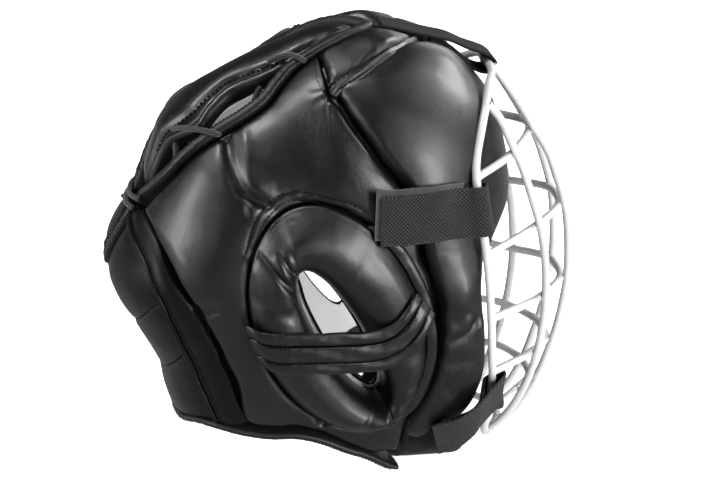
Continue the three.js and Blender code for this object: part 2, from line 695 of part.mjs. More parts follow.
// ---- lining ----
const liningOutline = [
  { angle: 165, lat: 18.5 }, { angle: 152, lat: 25.2 }, { angle: 137, lat: 32.5 }, { angle: 122, lat: 34.4 },
  { angle: 108.3, lat: 32 }, { angle: 98, lat: 21.8 }, { angle: 88, lat: 15.8 }, { angle: 78, lat: 8.5 },
  { angle: 68, lat: 1 }, { angle: 52, lat: 1 }, { angle: 37, lat: 1 }, { angle: 23, lat: 1 },
  { angle: 10, lat: 1 }, { angle: 8.5, lat: 14 }, { angle: 7, lat: 27 }, { angle: 2.5, lat: 40 },
  { angle: -8, lat: 51.5 }, { angle: -21, lat: 56 }, { angle: -35, lat: 54.5 }, { angle: -49, lat: 54.6 },
  { angle: -61, lat: 59 }, { angle: -71, lat: 60 }, { angle: -79, lat: 57.5 }, { angle: -91, lat: 64 },
  { angle: -103, lat: 63 }, { angle: -115, lat: 55 }, { angle: -130, lat: 54.5 }, { angle: -148, lat: 53.5 },
  { angle: -165, lat: 54.5 }, { angle: 179, lat: 47 }, { angle: 171, lat: 33 },
];
const liningGap = 2.5;
for (const { name, sign } of sides) {
  const grid = fromHoleGrid(liningOutline, earHole, -1.5, () => [0, 0.22, 0.45, 0.7, 1])
    .map((row) => row.map((q) => chartPoint(q, sign)));
  const face = (depth) => grid.map((row) => row.map((p) => raised(p, -depth)));
  add(`lining_${name}`, slab(face(padWall + liningGap), face(padWall + liningGap + liningWall), true), liner());
}

// ---- chin flap ----
// Passes under the chin from cheek to cheek. Rows go from the right cheek to the middle.
const chinRows = [
  { y: 79, z: 32, back: 26, front: 50 },
  { y: 77, z: 25, back: 25, front: 60 },
  { y: 74, z: 17, back: 25, front: 61.5 },
  { y: 68, z: 8.5, back: 26, front: 65 },
  { y: 59, z: 2.5, back: 22, front: 61 },
  { y: 47, z: 0, back: 15, front: 57 },
  { y: 22, z: 0, back: 11, front: 55 },
];
const chinWall = 8;
const chinPath = [
  ...chinRows.map((row) => ({ ...row, y: -row.y })),
  ...[...chinRows].reverse(),
];
const chinShares = [0, 0.12, 0.5, 0.88, 1];
const chinNormal = (i) => {
  const [a, b] = [chinPath[Math.max(i - 1, 0)], chinPath[Math.min(i + 1, chinPath.length - 1)]];
  return new THREE.Vector3(0, b.z - a.z, a.y - b.y).normalize();
};
const chinGrid = (offset) =>
  chinPath.map((row, i) =>
    chinShares.map((t) =>
      new THREE.Vector3(mix(row.back, row.front, t), row.y, row.z).addScaledVector(chinNormal(i), -offset),
    ),
  );
add('chin_flap', slab(chinGrid(0), chinGrid(chinWall)), leatherette());

// ---- face grille ----
// Right half of the grille. Every wire is a smooth curve through its points.
const frameWire = [
  [89, 0, 238.5], [90, 13, 238.3], [89, 23, 236.5], [85.2, 33, 232.6], [80.4, 49, 224.8], [74.6, 62.8, 211.5],
  [70.4, 71.2, 198], [69.2, 78, 188], [71, 82, 170], [73.8, 83.2, 150.5], [77.2, 82.6, 123], [79.6, 79, 98],
  [82, 72, 73], [83.7, 66, 57.7], [84.6, 58, 40], [84.4, 48, 20], [85, 40, 8], [89, 31, 3.4], [97, 17, 3],
  [101, 0, 3],
];
const outerWire = [
  [81.6, 50, 225.2], [89.1, 49.5, 215.3], [96, 49, 200.2], [103.5, 49, 183.4], [109.5, 48.5, 165.5],
  [115.5, 48, 145.5], [119.5, 47.7, 122], [120.5, 47, 95], [119, 46, 77], [116, 45, 59], [111, 43, 41],
  [104, 39, 24], [96, 33, 10], [90.8, 30, 4.4],
];
const innerWire = [
  [91, 16, 239], [104.4, 16, 220], [117.5, 16, 198.5], [126.3, 17, 183.5], [133, 18, 165], [138.4, 19.4, 145],
  [140.4, 20, 125], [140.5, 20, 101], [138.3, 20, 84], [134.6, 19.5, 66], [129, 19, 48], [122.5, 18, 31],
  [113.5, 17, 15.5], [103, 16, 5.5], [98.6, 15.5, 3.6],
];
// Bars cross behind the uprights: where they leave the frame, pass the outer and inner upright,
// and reach the middle plane.
const bars = {
  forehead: { frame: [69.2, 77.8, 188.5], outer: [99.3, 49, 193.5], inner: [118, 16, 197], middle: [121.5, 0, 198.3] },
  eyes: { frame: [75, 83.1, 141.5], outer: [116.2, 48, 145], inner: [138, 19.5, 148.5], middle: [141, 0, 149.5] },
  nose: { frame: [79.5, 79.3, 99], outer: [120.6, 47, 97], inner: [140.4, 20, 99.5], middle: [143, 0, 100] },
  mouth: { frame: [83.6, 66, 58.3], outer: [116, 45, 58.5], inner: [132, 19.2, 57.5], middle: [134.5, 0, 57.5] },
  chin: { frame: [84.6, 51, 25.2], outer: [107.4, 41, 31.5], inner: [121.8, 18, 31], middle: [124, 0, 31] },
};
const mirrored = ([x, y, z]) => [x, -y, z];
const acrossMiddle = (half) => [...half.map(mirrored), ...half.filter(([, y]) => y !== 0).reverse()];

function inside([x, y, z]) {
  // a point one wire behind an upright, towards the middle of the face
  const away = new THREE.Vector3(x - 40, y * 0.6, (z - 120) * 0.45).normalize();
  return [x - away.x * wireDiameter, y - away.y * wireDiameter, z - away.z * wireDiameter];
}

// Every wire is a piece of its own. It is notched by a hair where it meets one that was laid before it.
const wire = (route, steps, diameter) => toManifold(cord(route, diameter, wireSides, steps));
const roomDiameter = wireDiameter + 2 * fitGap;

function frameHalf(sign, diameter) {
  // runs past the middle plane and is cut back to it
  const past = frameWire.map(([x, y, z]) => [x, sign * (y === 0 ? -1.2 : y), z]);
  return wire(past, 28, diameter).trimByPlane([0, sign, 0], fitGap / 2);
}

const grilleWires = [];
let room = null;
function layWires(named) {
  // named gives each wire's maker by diameter; the next ones laid keep clear of all of them
  for (const [name, make] of named) {
    grilleWires.push([name, room ? make(wireDiameter).subtract(room) : make(wireDiameter)]);
  }
  for (const [, make] of named) room = room ? room.add(make(roomDiameter)) : make(roomDiameter);
}

const turned = (half, sign) => half.map(([x, y, z]) => [x, sign * y, z]);
layWires(sides.map(({ name, sign }) => [`grille_frame_${name}`, (size) => frameHalf(sign, size)]));
layWires(sides.flatMap(({ name, sign }) => [
  [`grille_upright_outer_${name}`, (size) => wire(turned(outerWire, sign), 13, size)],
  [`grille_upright_inner_${name}`, (size) => wire(turned(innerWire, sign), 15, size)],
]));
layWires(Object.entries(bars).map(([name, { frame, outer, inner, middle }]) => {
  const route = acrossMiddle([frame, inside(outer), inside(inner), inside(middle)]);
  return [`grille_bar_${name}`, (size) => wire(route, 12, size)];
}));
for (const [name, body] of grilleWires) add(name, fromManifold(body), coatedWire());

// ---- grille straps ----
function strapSection(half) {
  const t = strapThickness / 2;
  return [[-half, -t], [half, -t], [half, t], [-half, t]];
}

function ribbon(points, half, across) {
  // flat strap through points, across(i) giving its width direction at each of them
  return points.map((p, i) => {
    const before = points[Math.max(i - 1, 0)];
    const after = points[Math.min(i + 1, points.length - 1)];
    const along = after.clone().sub(before).normalize();
    const a = across(i).clone();
    a.addScaledVector(along, -a.dot(along)).normalize();
    return { p, a, b: new THREE.Vector3().crossVectors(along, a), section: strapSection(half) };
  });
}

// Each strap lies on the pad, goes round a grille wire and comes back under itself.
const upperLift = sideRise + 2 * strapThickness + 2 * fitGap + 0.9;
const lowerLift = sideRise + strapThickness / 2 + fitGap + 0.8;
const sideStrap = {
  upper: [{ x: 8.5, z: 171 }, { x: 20, z: 170.8 }, { x: 32, z: 170.5 }, { x: 44, z: 170.3 }, { x: 55, z: 170.1 }],
  turn: [[64, 86.6], [70.6, 87], [75.2, 85.2], [76.8, 81.4], [75.2, 77.2], [70.8, 75.8]],
  lower: [{ x: 61, z: 170 }, { x: 49, z: 170.2 }, { x: 34, z: 170.5 }, { x: 20, z: 170.8 }],
  z: 170,
  across: [-4, -3.4, 28],
};
for (const { name, sign } of sides) {
  const onPad = (lift) => ({ x, z }) => raised(sidePoint(x, z, sign), lift);
  const route = [
    ...sideStrap.upper.map(onPad(upperLift)),
    ...sideStrap.turn.map(([x, y]) => new THREE.Vector3(x, sign * y, sideStrap.z)),
    ...sideStrap.lower.map(onPad(lowerLift)),
  ];
  const [dx, dy, dz] = sideStrap.across;
  const lean = new THREE.Vector3(dx, sign * dy, dz);
  const upright = new THREE.Vector3(-3, 0, 30);
  const onTurn = (i) => i > 3 && i < 12;
  add(
    `side_strap_${name}`,
    sweep(ribbon(route, sideStrapWidth / 2, (i) => (onTurn(i) ? lean : upright))),
    webbing(),
  );
}

// Lower straps: middle line as [x, y, z] with the width direction in side view.
const lowerStrapRows = [
  { p: [45.5, 81.6, 22.5], across: [-6, 9, 24] },
  { p: [53, 81.8, 24.5], across: [-2, 8.5, 22] },
  { p: [61, 82.2, 27.6], across: [1.5, 8.5, 21] },
  { p: [71.4, 80, 34.4], across: [1, 10, 23] },
  { p: [82, 70.6, 40], across: [0, 12, 27] },
  { p: [89, 64.2, 43], across: [-0.5, 12, 26] },
  { p: [91.6, 58.4, 43.2], across: [-0.5, 12, 26] },
  { p: [88.4, 53.2, 43], across: [-0.5, 12, 26] },
  { p: [81, 54.4, 41.2], across: [0, 12, 27] },
  { p: [77.6, 62.4, 38.4], across: [0, 11, 25] },
  { p: [75, 71.4, 36.4], across: [1, 10, 23] },
  { p: [69.8, 79, 33], across: [1, 10, 23] },
  { p: [62, 79.9, 28.4], across: [1.5, 8.5, 21] },
  { p: [53, 79.4, 24.7], across: [-2, 8.5, 22] },
];
for (const { name, sign } of sides) {
  const points = lowerStrapRows.map(({ p: [x, y, z] }) => new THREE.Vector3(x, sign * y, z));
  const across = (i) => {
    const [dx, dy, dz] = lowerStrapRows[i].across;
    return new THREE.Vector3(dx, sign * dy, dz);
  };
  add(`lower_strap_${name}`, sweep(ribbon(points, lowerStrapWidth / 2, across)), webbing());
}

// Top strap: over the forehead, round the grille's top bar and back under itself.
const topUpper = [[70.2, 2.4], [66, 2.7], [61.5, 3.4], [57, 5.4], [52.5, 8.4]];
const topTurn = [
  [77, 249], [84.5, 246.2], [90.4, 243.4], [94.2, 239.2], [92.8, 234.6], [87.7, 233.2], [80, 236.2],
];
const topLower = [[48.5, 2.9], [53, 2.9], [57, 2.9]];
const onTop = ([angle, lift]) => raised(formPoint(angle, 0), lift);
const topRoute = [
  ...topUpper.map(onTop),
  ...topTurn.map(([x, z]) => new THREE.Vector3(x, 0, z)),
  ...topLower.map(onTop),
];
add('top_strap', sweep(ribbon(topRoute, topStrapWidth / 2, () => new THREE.Vector3(0, 1, 0))), webbing());

// ---- laces ----
// Routes on the form as [angle, lat, height].
const laces = [
  {
    name: 'lace_middle',
    route: [[141, 11.5, 2], [138, 17, 2.4], [135, 23.5, 2.9], [132, 29.5, 3.8], [129, 35.2, 4]],
  },
  {
    name: 'lace_front',
    route: [[104, 10, 2.2], [100.5, 10.5, 3], [97, 13, 3.7], [94.5, 17.5, 3.8], [92.8, 21.5, 3.7]],
  },
  { name: 'lace_inner_rear', route: [[144.35, 12.4, -4.5], [146, 15.5, -5], [147.6, 18.4, -5]] },
  { name: 'lace_inner_front', route: [[109.3, 17.6, -4.5], [111.6, 21, -5], [114, 26.1, -5.2]] },
];
const overForm = (route, sign) =>
  route.map(([angle, lat, height]) => raised(formPoint(angle, sign * lat), height).toArray());
for (const { name: side, sign } of sides) {
  for (const { name, route } of laces) {
    add(`${name}_${side}`, cord(overForm(route, sign), laceDiameter, 6, 6), tape());
  }
}

// Two turns of lace tie the rear ends of the crown opening together across the middle plane.
const knotTurns = [
  { name: 'lace_knot_upper', route: [[166.6, 9, 1.2], [167.4, 6.2, 3.2], [168, 3.2, 4.4], [168.2, 0, 4]] },
  { name: 'lace_knot_lower', route: [[170.2, 8.6, 1.8], [170.6, 6, 3.3], [170.8, 3, 4.4], [170.8, 0, 4]] },
];
for (const { name, route } of knotTurns) {
  const whole = [...overForm(route, -1), ...overForm(route, 1).slice(0, -1).reverse()];
  add(name, cord(whole, laceDiameter, 6, 9), tape());
}

// The origin is the middle of the base.
headguard.updateMatrixWorld(true);
const box = new THREE.Box3().setFromObject(headguard, true);
headguard.position.set(-(box.min.x + box.max.x) / 2, 0, -box.min.z);

export default headguard;
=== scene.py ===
"""A martial arts grille helmet: padded leatherette head guard, laced crown and white wire face grille.

Tables are in millimetres and degrees, in the head guard's own frame: +X to the front, +Y to the
wearer's left, +Z up. They give one half of the part, and the other half mirrors it.
"""

import math

import bpy
import numpy as np
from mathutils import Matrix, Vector
from mathutils.bvhtree import BVHTree


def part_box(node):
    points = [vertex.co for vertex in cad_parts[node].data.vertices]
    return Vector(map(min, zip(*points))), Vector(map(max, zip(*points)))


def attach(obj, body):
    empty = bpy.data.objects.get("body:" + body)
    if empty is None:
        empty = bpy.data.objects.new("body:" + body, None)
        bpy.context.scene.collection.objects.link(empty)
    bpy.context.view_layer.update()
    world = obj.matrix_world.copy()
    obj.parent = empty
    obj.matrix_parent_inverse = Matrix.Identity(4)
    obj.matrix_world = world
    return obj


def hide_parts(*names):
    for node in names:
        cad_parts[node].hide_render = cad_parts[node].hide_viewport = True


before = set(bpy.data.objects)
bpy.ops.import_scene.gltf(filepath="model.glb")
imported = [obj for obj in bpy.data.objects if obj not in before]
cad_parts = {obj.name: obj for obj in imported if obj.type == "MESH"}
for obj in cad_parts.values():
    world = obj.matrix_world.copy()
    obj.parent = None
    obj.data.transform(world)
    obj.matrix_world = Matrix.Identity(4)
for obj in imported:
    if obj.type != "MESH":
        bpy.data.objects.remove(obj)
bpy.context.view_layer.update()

MM = 0.001

# ---- driving sizes ----
PAD_WALL = 19.0
SIDE_RISE = 2.0
TOP_PAD_WALL = 15.0
NAPE_WALL = 11.0
NAPE_SWELL = 1.5
CROWN_WALL = 9.0
CROWN_ROLL = 4.6
LINING_WALL = 1.6
BINDING_HALF_WIDTH = 3.6
WIRE_DIAMETER = 5.0
WELD_SINK = 0.7
STRAP_THICKNESS = 1.8
LACE_DIAMETER = 3.2
CHIN_MIDDLE_X = 38.0  # middle of the chin flap's length in the tables

# The CAD model's origin is under the middle of its box, so the tables move back by this much.
chin_low, chin_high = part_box("chin_flap")
SHIFT_X = (chin_low[0] + chin_high[0]) / 2 / MM - CHIN_MIDDLE_X

# ---- head form ----
EAR_AXIS = (-20.0, 141.5)
EAR_HALF_WIDTH = 96.0
ROUNDNESS = 2.5
# Angle about the ear axis (0 ahead, 90 up), reach in the middle plane and half width.
HEAD_FORM = np.array([
    (-180, 119.5, 97), (-174, 125.3, 97), (-168, 127, 97), (-150, 123.5, 97), (-140, 126.5, 96),
    (-130, 140, 96), (-118, 163, 95), (-90, 196, 93), (-60, 193, 92), (-30, 168, 95),
    (-10, 145, 97), (5, 125, 97), (18, 124, 96), (40, 134, 95), (60, 131.5, 92), (80, 125, 87),
    (100, 111, 82), (120, 108, 83), (140, 110.5, 89), (155, 108.5, 94), (165, 108.5, 97),
    (174, 113.5, 97),
])


def around(column):
    """Smooth periodic curve through one column of the head form."""
    angles, values = HEAD_FORM[:, 0], HEAD_FORM[:, column]
    count = len(angles)
    after = np.append(angles[1:], angles[0] + 360)
    before = np.insert(angles[:-1], 0, angles[-1] - 360)
    slopes = (np.roll(values, -1) - np.roll(values, 1)) / (after - before)

    def at(degrees):
        a = np.asarray(degrees, float)
        a = a - 360 * np.floor((a - angles[0]) / 360)
        i = np.clip(np.searchsorted(angles, a, side="right") - 1, 0, count - 1)
        j = (i + 1) % count
        step = after[i] - angles[i]
        t = (a - angles[i]) / step
        t2, t3 = t * t, t * t * t
        return (
            values[i] * (2 * t3 - 3 * t2 + 1)
            + slopes[i] * step * (t3 - 2 * t2 + t)
            + values[j] * (3 * t2 - 2 * t3)
            + slopes[j] * step * (t3 - t2)
        )

    return at


reach_at = around(1)
form_half_width = around(2)


def smoothstep(x, low, high):
    t = np.clip((np.asarray(x, float) - low) / (high - low), 0, 1)
    return t * t * (3 - 2 * t)


def half_width_at(angle, opening):
    return EAR_HALF_WIDTH + (form_half_width(angle) - EAR_HALF_WIDTH) * smoothstep(opening, 0, 0.7)


def form_point(angle, lat):
    """Point of the head form: lat is 0 in the middle plane, -90 at the right ear and +90 at the left."""
    angle, lat = np.broadcast_arrays(np.asarray(angle, float), np.asarray(lat, float))
    opening = np.cos(np.radians(np.abs(lat)))
    radius = reach_at(angle) * opening ** (2 / ROUNDNESS)
    width = half_width_at(angle, opening) * np.sin(np.radians(np.abs(lat))) ** (2 / ROUNDNESS)
    turn = np.radians(angle)
    x = EAR_AXIS[0] + radius * np.cos(turn)
    z = EAR_AXIS[1] + radius * np.sin(turn)
    return np.stack([x, np.sign(lat) * width, z], -1)


def polar(x, z):
    dx, dz = x - EAR_AXIS[0], z - EAR_AXIS[1]
    return np.degrees(np.arctan2(dz, dx)), np.hypot(dx, dz)


def side_point(x, z, side):
    """The point of the form seen at x, z from the side."""
    angle, radius = polar(np.asarray(x, float), np.asarray(z, float))
    share = np.minimum(radius / reach_at(angle), 1)
    width = half_width_at(angle, share ** (ROUNDNESS / 2))
    y = side * width * (1 - share**ROUNDNESS) ** (1 / ROUNDNESS)
    return np.stack([x + 0 * y, y, z + 0 * y], -1)


def form_level(p):
    angle, radius = polar(p[..., 0], p[..., 2])
    share = radius / reach_at(angle)
    width = half_width_at(angle, np.minimum(share, 1) ** (ROUNDNESS / 2))
    return share**ROUNDNESS + (np.abs(p[..., 1]) / width) ** ROUNDNESS


def unit(v):
    return v / np.maximum(np.linalg.norm(v, axis=-1, keepdims=True), 1e-12)


def form_normal(p):
    step = 0.4
    slopes = [form_level(p + d) - form_level(p - d) for d in np.eye(3) * step]
    return unit(np.stack(slopes, -1))


def raised(p, height):
    return p + form_normal(p) * np.asarray(height, float)[..., None]


def chart(angle, lat):
    """Flat map of one side of the form, with the ear in its middle."""
    radius = 90 - np.abs(lat)
    return np.stack([radius * np.cos(np.radians(angle)), radius * np.sin(np.radians(angle))], -1)


def chart_point(q, side):
    angle = np.degrees(np.arctan2(q[..., 1], q[..., 0]))
    return form_point(angle, side * (90 - np.linalg.norm(q, axis=-1)))


def chart_of(x, z):
    angle, radius = polar(x, z)
    opening = np.minimum(radius / reach_at(angle), 1) ** (ROUNDNESS / 2)
    return chart(angle, np.degrees(np.arccos(opening)))


# ---- curves and fields ----
def catmull(points, per_span, closed=False):
    """Centripetal curve through points of any dimension, per_span samples for each span."""
    p = np.asarray(points, float)
    if closed:
        p = np.concatenate([p[-1:], p, p[:2]])
    else:
        p = np.concatenate([2 * p[:1] - p[1:2], p, 2 * p[-1:] - p[-2:-1]])
    out = []
    for i in range(1, len(p) - 2):
        knots = [0.0]
        for a, b in ((i - 1, i), (i, i + 1), (i + 1, i + 2)):
            knots.append(knots[-1] + max(np.linalg.norm(p[b] - p[a]) ** 0.5, 1e-4))
        t0, t1, t2, t3 = knots
        t = (t1 + (t2 - t1) * np.arange(per_span) / per_span)[:, None]
        a1 = (t1 - t) / (t1 - t0) * p[i - 1] + (t - t0) / (t1 - t0) * p[i]
        a2 = (t2 - t) / (t2 - t1) * p[i] + (t - t1) / (t2 - t1) * p[i + 1]
        a3 = (t3 - t) / (t3 - t2) * p[i + 1] + (t - t2) / (t3 - t2) * p[i + 2]
        b1 = (t2 - t) / (t2 - t0) * a1 + (t - t0) / (t2 - t0) * a2
        b2 = (t3 - t) / (t3 - t1) * a2 + (t - t1) / (t3 - t1) * a3
        out.append((t2 - t) / (t2 - t1) * b1 + (t - t1) / (t2 - t1) * b2)
    if not closed:
        out.append(p[-2][None])
    return np.concatenate(out)


def lengths_along(line, closed=False):
    """Length from the start of a line to each of its points, and on to the start if it is closed."""
    if closed:
        line = np.concatenate([line, line[:1]])
    return np.concatenate([[0], np.cumsum(np.linalg.norm(np.diff(line, axis=0), axis=1))])


def even(points, count, closed=False):
    """The same curve at evenly spaced lengths."""
    p = np.concatenate([points, points[:1]]) if closed else points
    along = lengths_along(p)
    wanted = np.linspace(0, along[-1], count + 1)[:-1] if closed else np.linspace(0, along[-1], count)
    return np.stack([np.interp(wanted, along, p[:, k]) for k in range(p.shape[1])], -1)


def spread(rows, per_span, corners=(), closed=False):
    """Rows of a table spread to many, smooth between the corners."""
    rows = np.asarray(rows, float)
    if closed:
        rows = np.concatenate([rows, rows[:1]])
    cuts = [0, *corners, len(rows) - 1]
    parts = [catmull(rows[a : b + 1], per_span)[:-1] for a, b in zip(cuts, cuts[1:]) if b > a]
    return np.concatenate(parts) if closed else np.concatenate([*parts, rows[-1:]])


def waves(p, size, seed, count=9):
    """Smooth random field from -1 to 1 with features of about the given size."""
    rng = np.random.default_rng(seed)
    directions = unit(rng.normal(size=(count, 3)))
    turns = directions * (2 * math.pi / (size * rng.uniform(1.4, 2.8, (count, 1))))
    phases = rng.uniform(0, 2 * math.pi, count)
    return np.sin(p @ turns.T + phases).sum(-1) / math.sqrt(count)


def near_line(p, line):
    """Distance from each point to a polyline, and the share of the line where it is nearest."""
    line = np.asarray(line, float)
    lengths = np.linalg.norm(np.diff(line, axis=0), axis=1)
    starts = lengths_along(line)
    best = np.full(p.shape[:-1], 1e9)
    share = np.zeros(p.shape[:-1])
    for i, (a, b) in enumerate(zip(line, line[1:])):
        ab = b - a
        t = np.clip(((p - a) @ ab) / (ab @ ab), 0, 1)
        d = np.linalg.norm(p - (a + t[..., None] * ab), axis=-1)
        closer = d < best
        best = np.where(closer, d, best)
        share = np.where(closer, (starts[i] + t * lengths[i]) / starts[-1], share)
    return best, share


def fold(p, line, depth, width, fade=(0.12, 0.3), lip=0.0, lip_towards=None):
    """Height change of a crease along a line, with a soft lip beside it."""
    d, share = near_line(p, line)
    ends = smoothstep(share, -0.001, fade[0]) * smoothstep(1 - share, -0.001, fade[1])
    height = -depth * np.exp(-((d / width) ** 2))
    if lip:
        beside = lip * np.exp(-(((d - 2.6 * width) / (2.2 * width)) ** 2))
        if lip_towards is not None:
            middle = np.asarray(line, float).mean(0)
            beside = beside * smoothstep((p - middle) @ unit(np.asarray(lip_towards, float)), -2, 4)
        height = height + beside
    return height * ends


# ---- mesh building ----
pieces = {}


def make(name, points, faces, material, node=None, uv=None, sharp=60):
    """A mesh object from table millimetres, seated in the frame and riding on the root body."""
    points = np.asarray(points, float).reshape(-1, 3)
    mesh = bpy.data.meshes.new(name)
    mesh.from_pydata(((points + (SHIFT_X, 0, 0)) * MM).tolist(), [], [tuple(f) for f in faces])
    if uv is not None:
        layer = mesh.uv_layers.new(name="along_across")
        layer.data.foreach_set("uv", np.asarray(uv, float).reshape(-1))
    mesh.validate()
    mesh.shade_smooth()
    mesh.set_sharp_from_angle(angle=math.radians(sharp))
    mesh.materials.append(material)
    obj = bpy.data.objects.new(name, mesh)
    bpy.context.scene.collection.objects.link(obj)
    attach(obj, "root")
    if node:
        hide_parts(*([node] if isinstance(node, str) else node))
    pieces[name] = (points, faces)
    return obj


def quads(rows, columns, offset=0, wrap_rows=False, wrap_columns=False):
    i = np.arange(rows if wrap_rows else rows - 1)[:, None]
    j = np.arange(columns if wrap_columns else columns - 1)[None]
    ni, nj = (i + 1) % rows, (j + 1) % columns
    faces = np.stack([i * columns + j, ni * columns + j, ni * columns + nj, i * columns + nj], -1)
    return faces.reshape(-1, 4) + offset


def tube(rows, columns, offset=0, closed=False):
    """Faces of a tube made of rings, with its two ends shut unless it is closed on itself."""
    faces = [tuple(f) for f in quads(rows, columns, offset, closed, True)]
    if not closed:
        faces.append(tuple(range(offset, offset + columns))[::-1])
        faces.append(tuple(range(offset + (rows - 1) * columns, offset + rows * columns)))
    return faces


def outward(points, faces):
    """Faces turned so that the closed mesh has a positive volume."""
    p = points[np.array([f[:3] for f in faces])]
    volume = np.einsum("ij,ij->i", p[:, 0], np.cross(p[:, 1], p[:, 2])).sum()
    return faces if volume > 0 else [tuple(reversed(f)) for f in faces]


def slab(name, outer, inner, material, node=None, wrap=False, sharp=60):
    """Closed wall between two grids of points, with its edges closed."""
    rows, columns = outer.shape[:2]
    size = rows * columns
    points = np.concatenate([outer.reshape(-1, 3), inner.reshape(-1, 3)])
    faces = [tuple(f) for f in quads(rows, columns, 0, wrap)]
    faces += [tuple(f[::-1]) for f in quads(rows, columns, size, wrap)]
    last = rows if wrap else rows - 1
    for i in range(last):
        a, b = i * columns, ((i + 1) % rows) * columns
        faces.append((a, a + size, b + size, b))
        faces.append((b + columns - 1, b + columns - 1 + size, a + columns - 1 + size, a + columns - 1))
    if not wrap:
        for j in range(columns - 1):
            faces.append((j + 1, j + 1 + size, j + size, j))
            k = (rows - 1) * columns + j
            faces.append((k, k + size, k + 1 + size, k + 1))
    faces = outward(points, faces)
    return make(name, points, faces, material, node, sharp=sharp)


def sweep(name, origins, a, b, sections, material, node=None, closed=False, sharp=50):
    """Closed section carried along a line. UVs are the length along it and around it, in metres."""
    sections = np.broadcast_to(sections, (len(origins), *np.shape(sections)[-2:]))
    grid = origins[:, None] + a[:, None] * sections[..., :1] + b[:, None] * sections[..., 1:]
    rows, columns = grid.shape[:2]
    faces = tube(rows, columns, closed=closed)
    points = grid.reshape(-1, 3)
    u = lengths_along(origins, closed) * MM
    v = lengths_along(sections[0], True) * MM
    i = np.arange(rows if closed else rows - 1)[:, None]
    j = np.arange(columns)[None]
    corners = [(i, j), (i + 1, j), (i + 1, j + 1), (i, j + 1)]
    uv = np.stack([np.stack([u[p] + 0 * q, v[q] + 0 * p], -1) for p, q in corners], -2).reshape(-1, 4, 2)
    turned = outward(points, faces)
    if turned is not faces:
        uv = uv[:, ::-1]
    uv = uv.reshape(-1, 2)
    if not closed:
        uv = np.concatenate([uv, np.zeros((2 * columns, 2))])
    return make(name, points, turned, material, node, uv=uv, sharp=sharp)


def frames_on_form(line, closed=False):
    """Directions along a line on the form: along it, across it and away from the form."""
    if closed:
        along = unit(np.roll(line, -1, 0) - np.roll(line, 1, 0))
    else:
        along = unit(np.gradient(line, axis=0))
    out = form_normal(line)
    across = unit(np.cross(along, out))
    return along, across, unit(np.cross(across, along))


def tube_frames(line):
    """Directions across a free line that turn as little as they can."""
    along = unit(np.gradient(line, axis=0))
    a = np.zeros_like(line)
    a[0] = unit(np.cross(along[0], (0.3, 0.2, 1.0)))
    for i in range(1, len(line)):
        v = a[i - 1] - along[i] * (a[i - 1] @ along[i])
        a[i] = v / np.linalg.norm(v)
    return along, a, np.cross(along, a)


def circle(radius, sides):
    turn = 2 * math.pi * np.arange(sides) / sides
    return np.stack([radius * np.cos(turn), radius * np.sin(turn)], -1)


def cord(name, line, radius, material, node=None, sides=14):
    """A round cord along a line, with its ends closed. The radius may change along it."""
    _, a, b = tube_frames(line)
    radii = np.broadcast_to(radius, (len(line),))
    sections = circle(1, sides)[None] * radii[:, None, None]
    return sweep(name, line, a, b, sections, material, node, sharp=80)


def edge_lengths(p, wrap=False):
    """Distances of grid points from the four edges of the grid, along the grid lines."""
    across = np.cumsum(np.linalg.norm(np.diff(p, axis=1), axis=-1), axis=1)
    across = np.concatenate([np.zeros((len(p), 1)), across], 1)
    down = np.cumsum(np.linalg.norm(np.diff(p, axis=0), axis=-1), axis=0)
    down = np.concatenate([np.zeros((1, p.shape[1])), down], 0)
    first, last = across, across[:, -1:] - across
    top, bottom = down, down[-1:] - down
    if wrap:
        top = bottom = np.full(p.shape[:2], 1e3)
    return first, last, top, bottom


def roll(d, radius, drop):
    """Drop of a padded surface towards its edge."""
    return drop * np.clip(1 - d / radius, 0, 1) ** 2.3


def tucks(p, d, seed, depth=0.32, reach=7.0, size=5.0):
    """Small puckers that a seam leaves in the cover beside it."""
    return depth * waves(p, size, seed, 11) * np.exp(-np.clip(d, 0, None) / reach)


def tree_of(*names):
    points, faces = [], []
    count = 0
    for name in names:
        p, f = pieces[name]
        points += [tuple(v) for v in p]
        faces += [tuple(int(k) + count for k in face) for face in f]
        count += len(p)
    return BVHTree.FromPolygons(points, faces)


def seat(line, tree, lift=0.0, start=26.0):
    """A line over the form brought down onto a piece, and the surface's normals there."""
    normals = form_normal(line)
    out, facing = [], []
    for p, n in zip(line, normals):
        hit, face_normal, _, _ = tree.ray_cast(Vector(p + n * start), Vector(-n), start + 24)
        out.append(p if hit is None else np.array(hit))
        facing.append(n if face_normal is None else np.array(face_normal))
    out = np.array(out)
    facing = np.array(facing)
    facing = unit(np.where((facing * normals).sum(-1, keepdims=True) < 0, -facing, facing))
    return out + normals * lift, facing


def stitches(name, runs, material, pitch=3.1, length=2.2, radius=0.34):
    """Rows of single stitches: each run is a seated line and its normals."""
    points, faces = [], []
    sides, rings = 5, 5
    section = circle(1, sides)
    for line, normals in runs:
        along = lengths_along(line)
        for start in np.arange(0.6, along[-1] - length, pitch):
            at = start + length * np.linspace(0, 1, rings)
            middle = np.stack([np.interp(at, along, line[:, k]) for k in range(3)], -1)
            n = unit(np.stack([np.interp(at, along, normals[:, k]) for k in range(3)], -1))
            swell = np.sin(np.linspace(0.12, math.pi - 0.12, rings))
            middle = middle + n * (0.42 * swell[:, None] - 0.12)
            t = unit(np.gradient(middle, axis=0))
            side = unit(np.cross(t, n))
            width = radius * (0.55 + 0.45 * swell)
            ring = middle[:, None] + width[:, None, None] * (
                side[:, None] * section[None, :, :1] + n[:, None] * section[None, :, 1:]
            )
            faces += tube(rings, sides, len(points) * rings * sides)
            points.append(ring.reshape(-1, 3))
    return make(name, np.concatenate(points), faces, material, sharp=80)


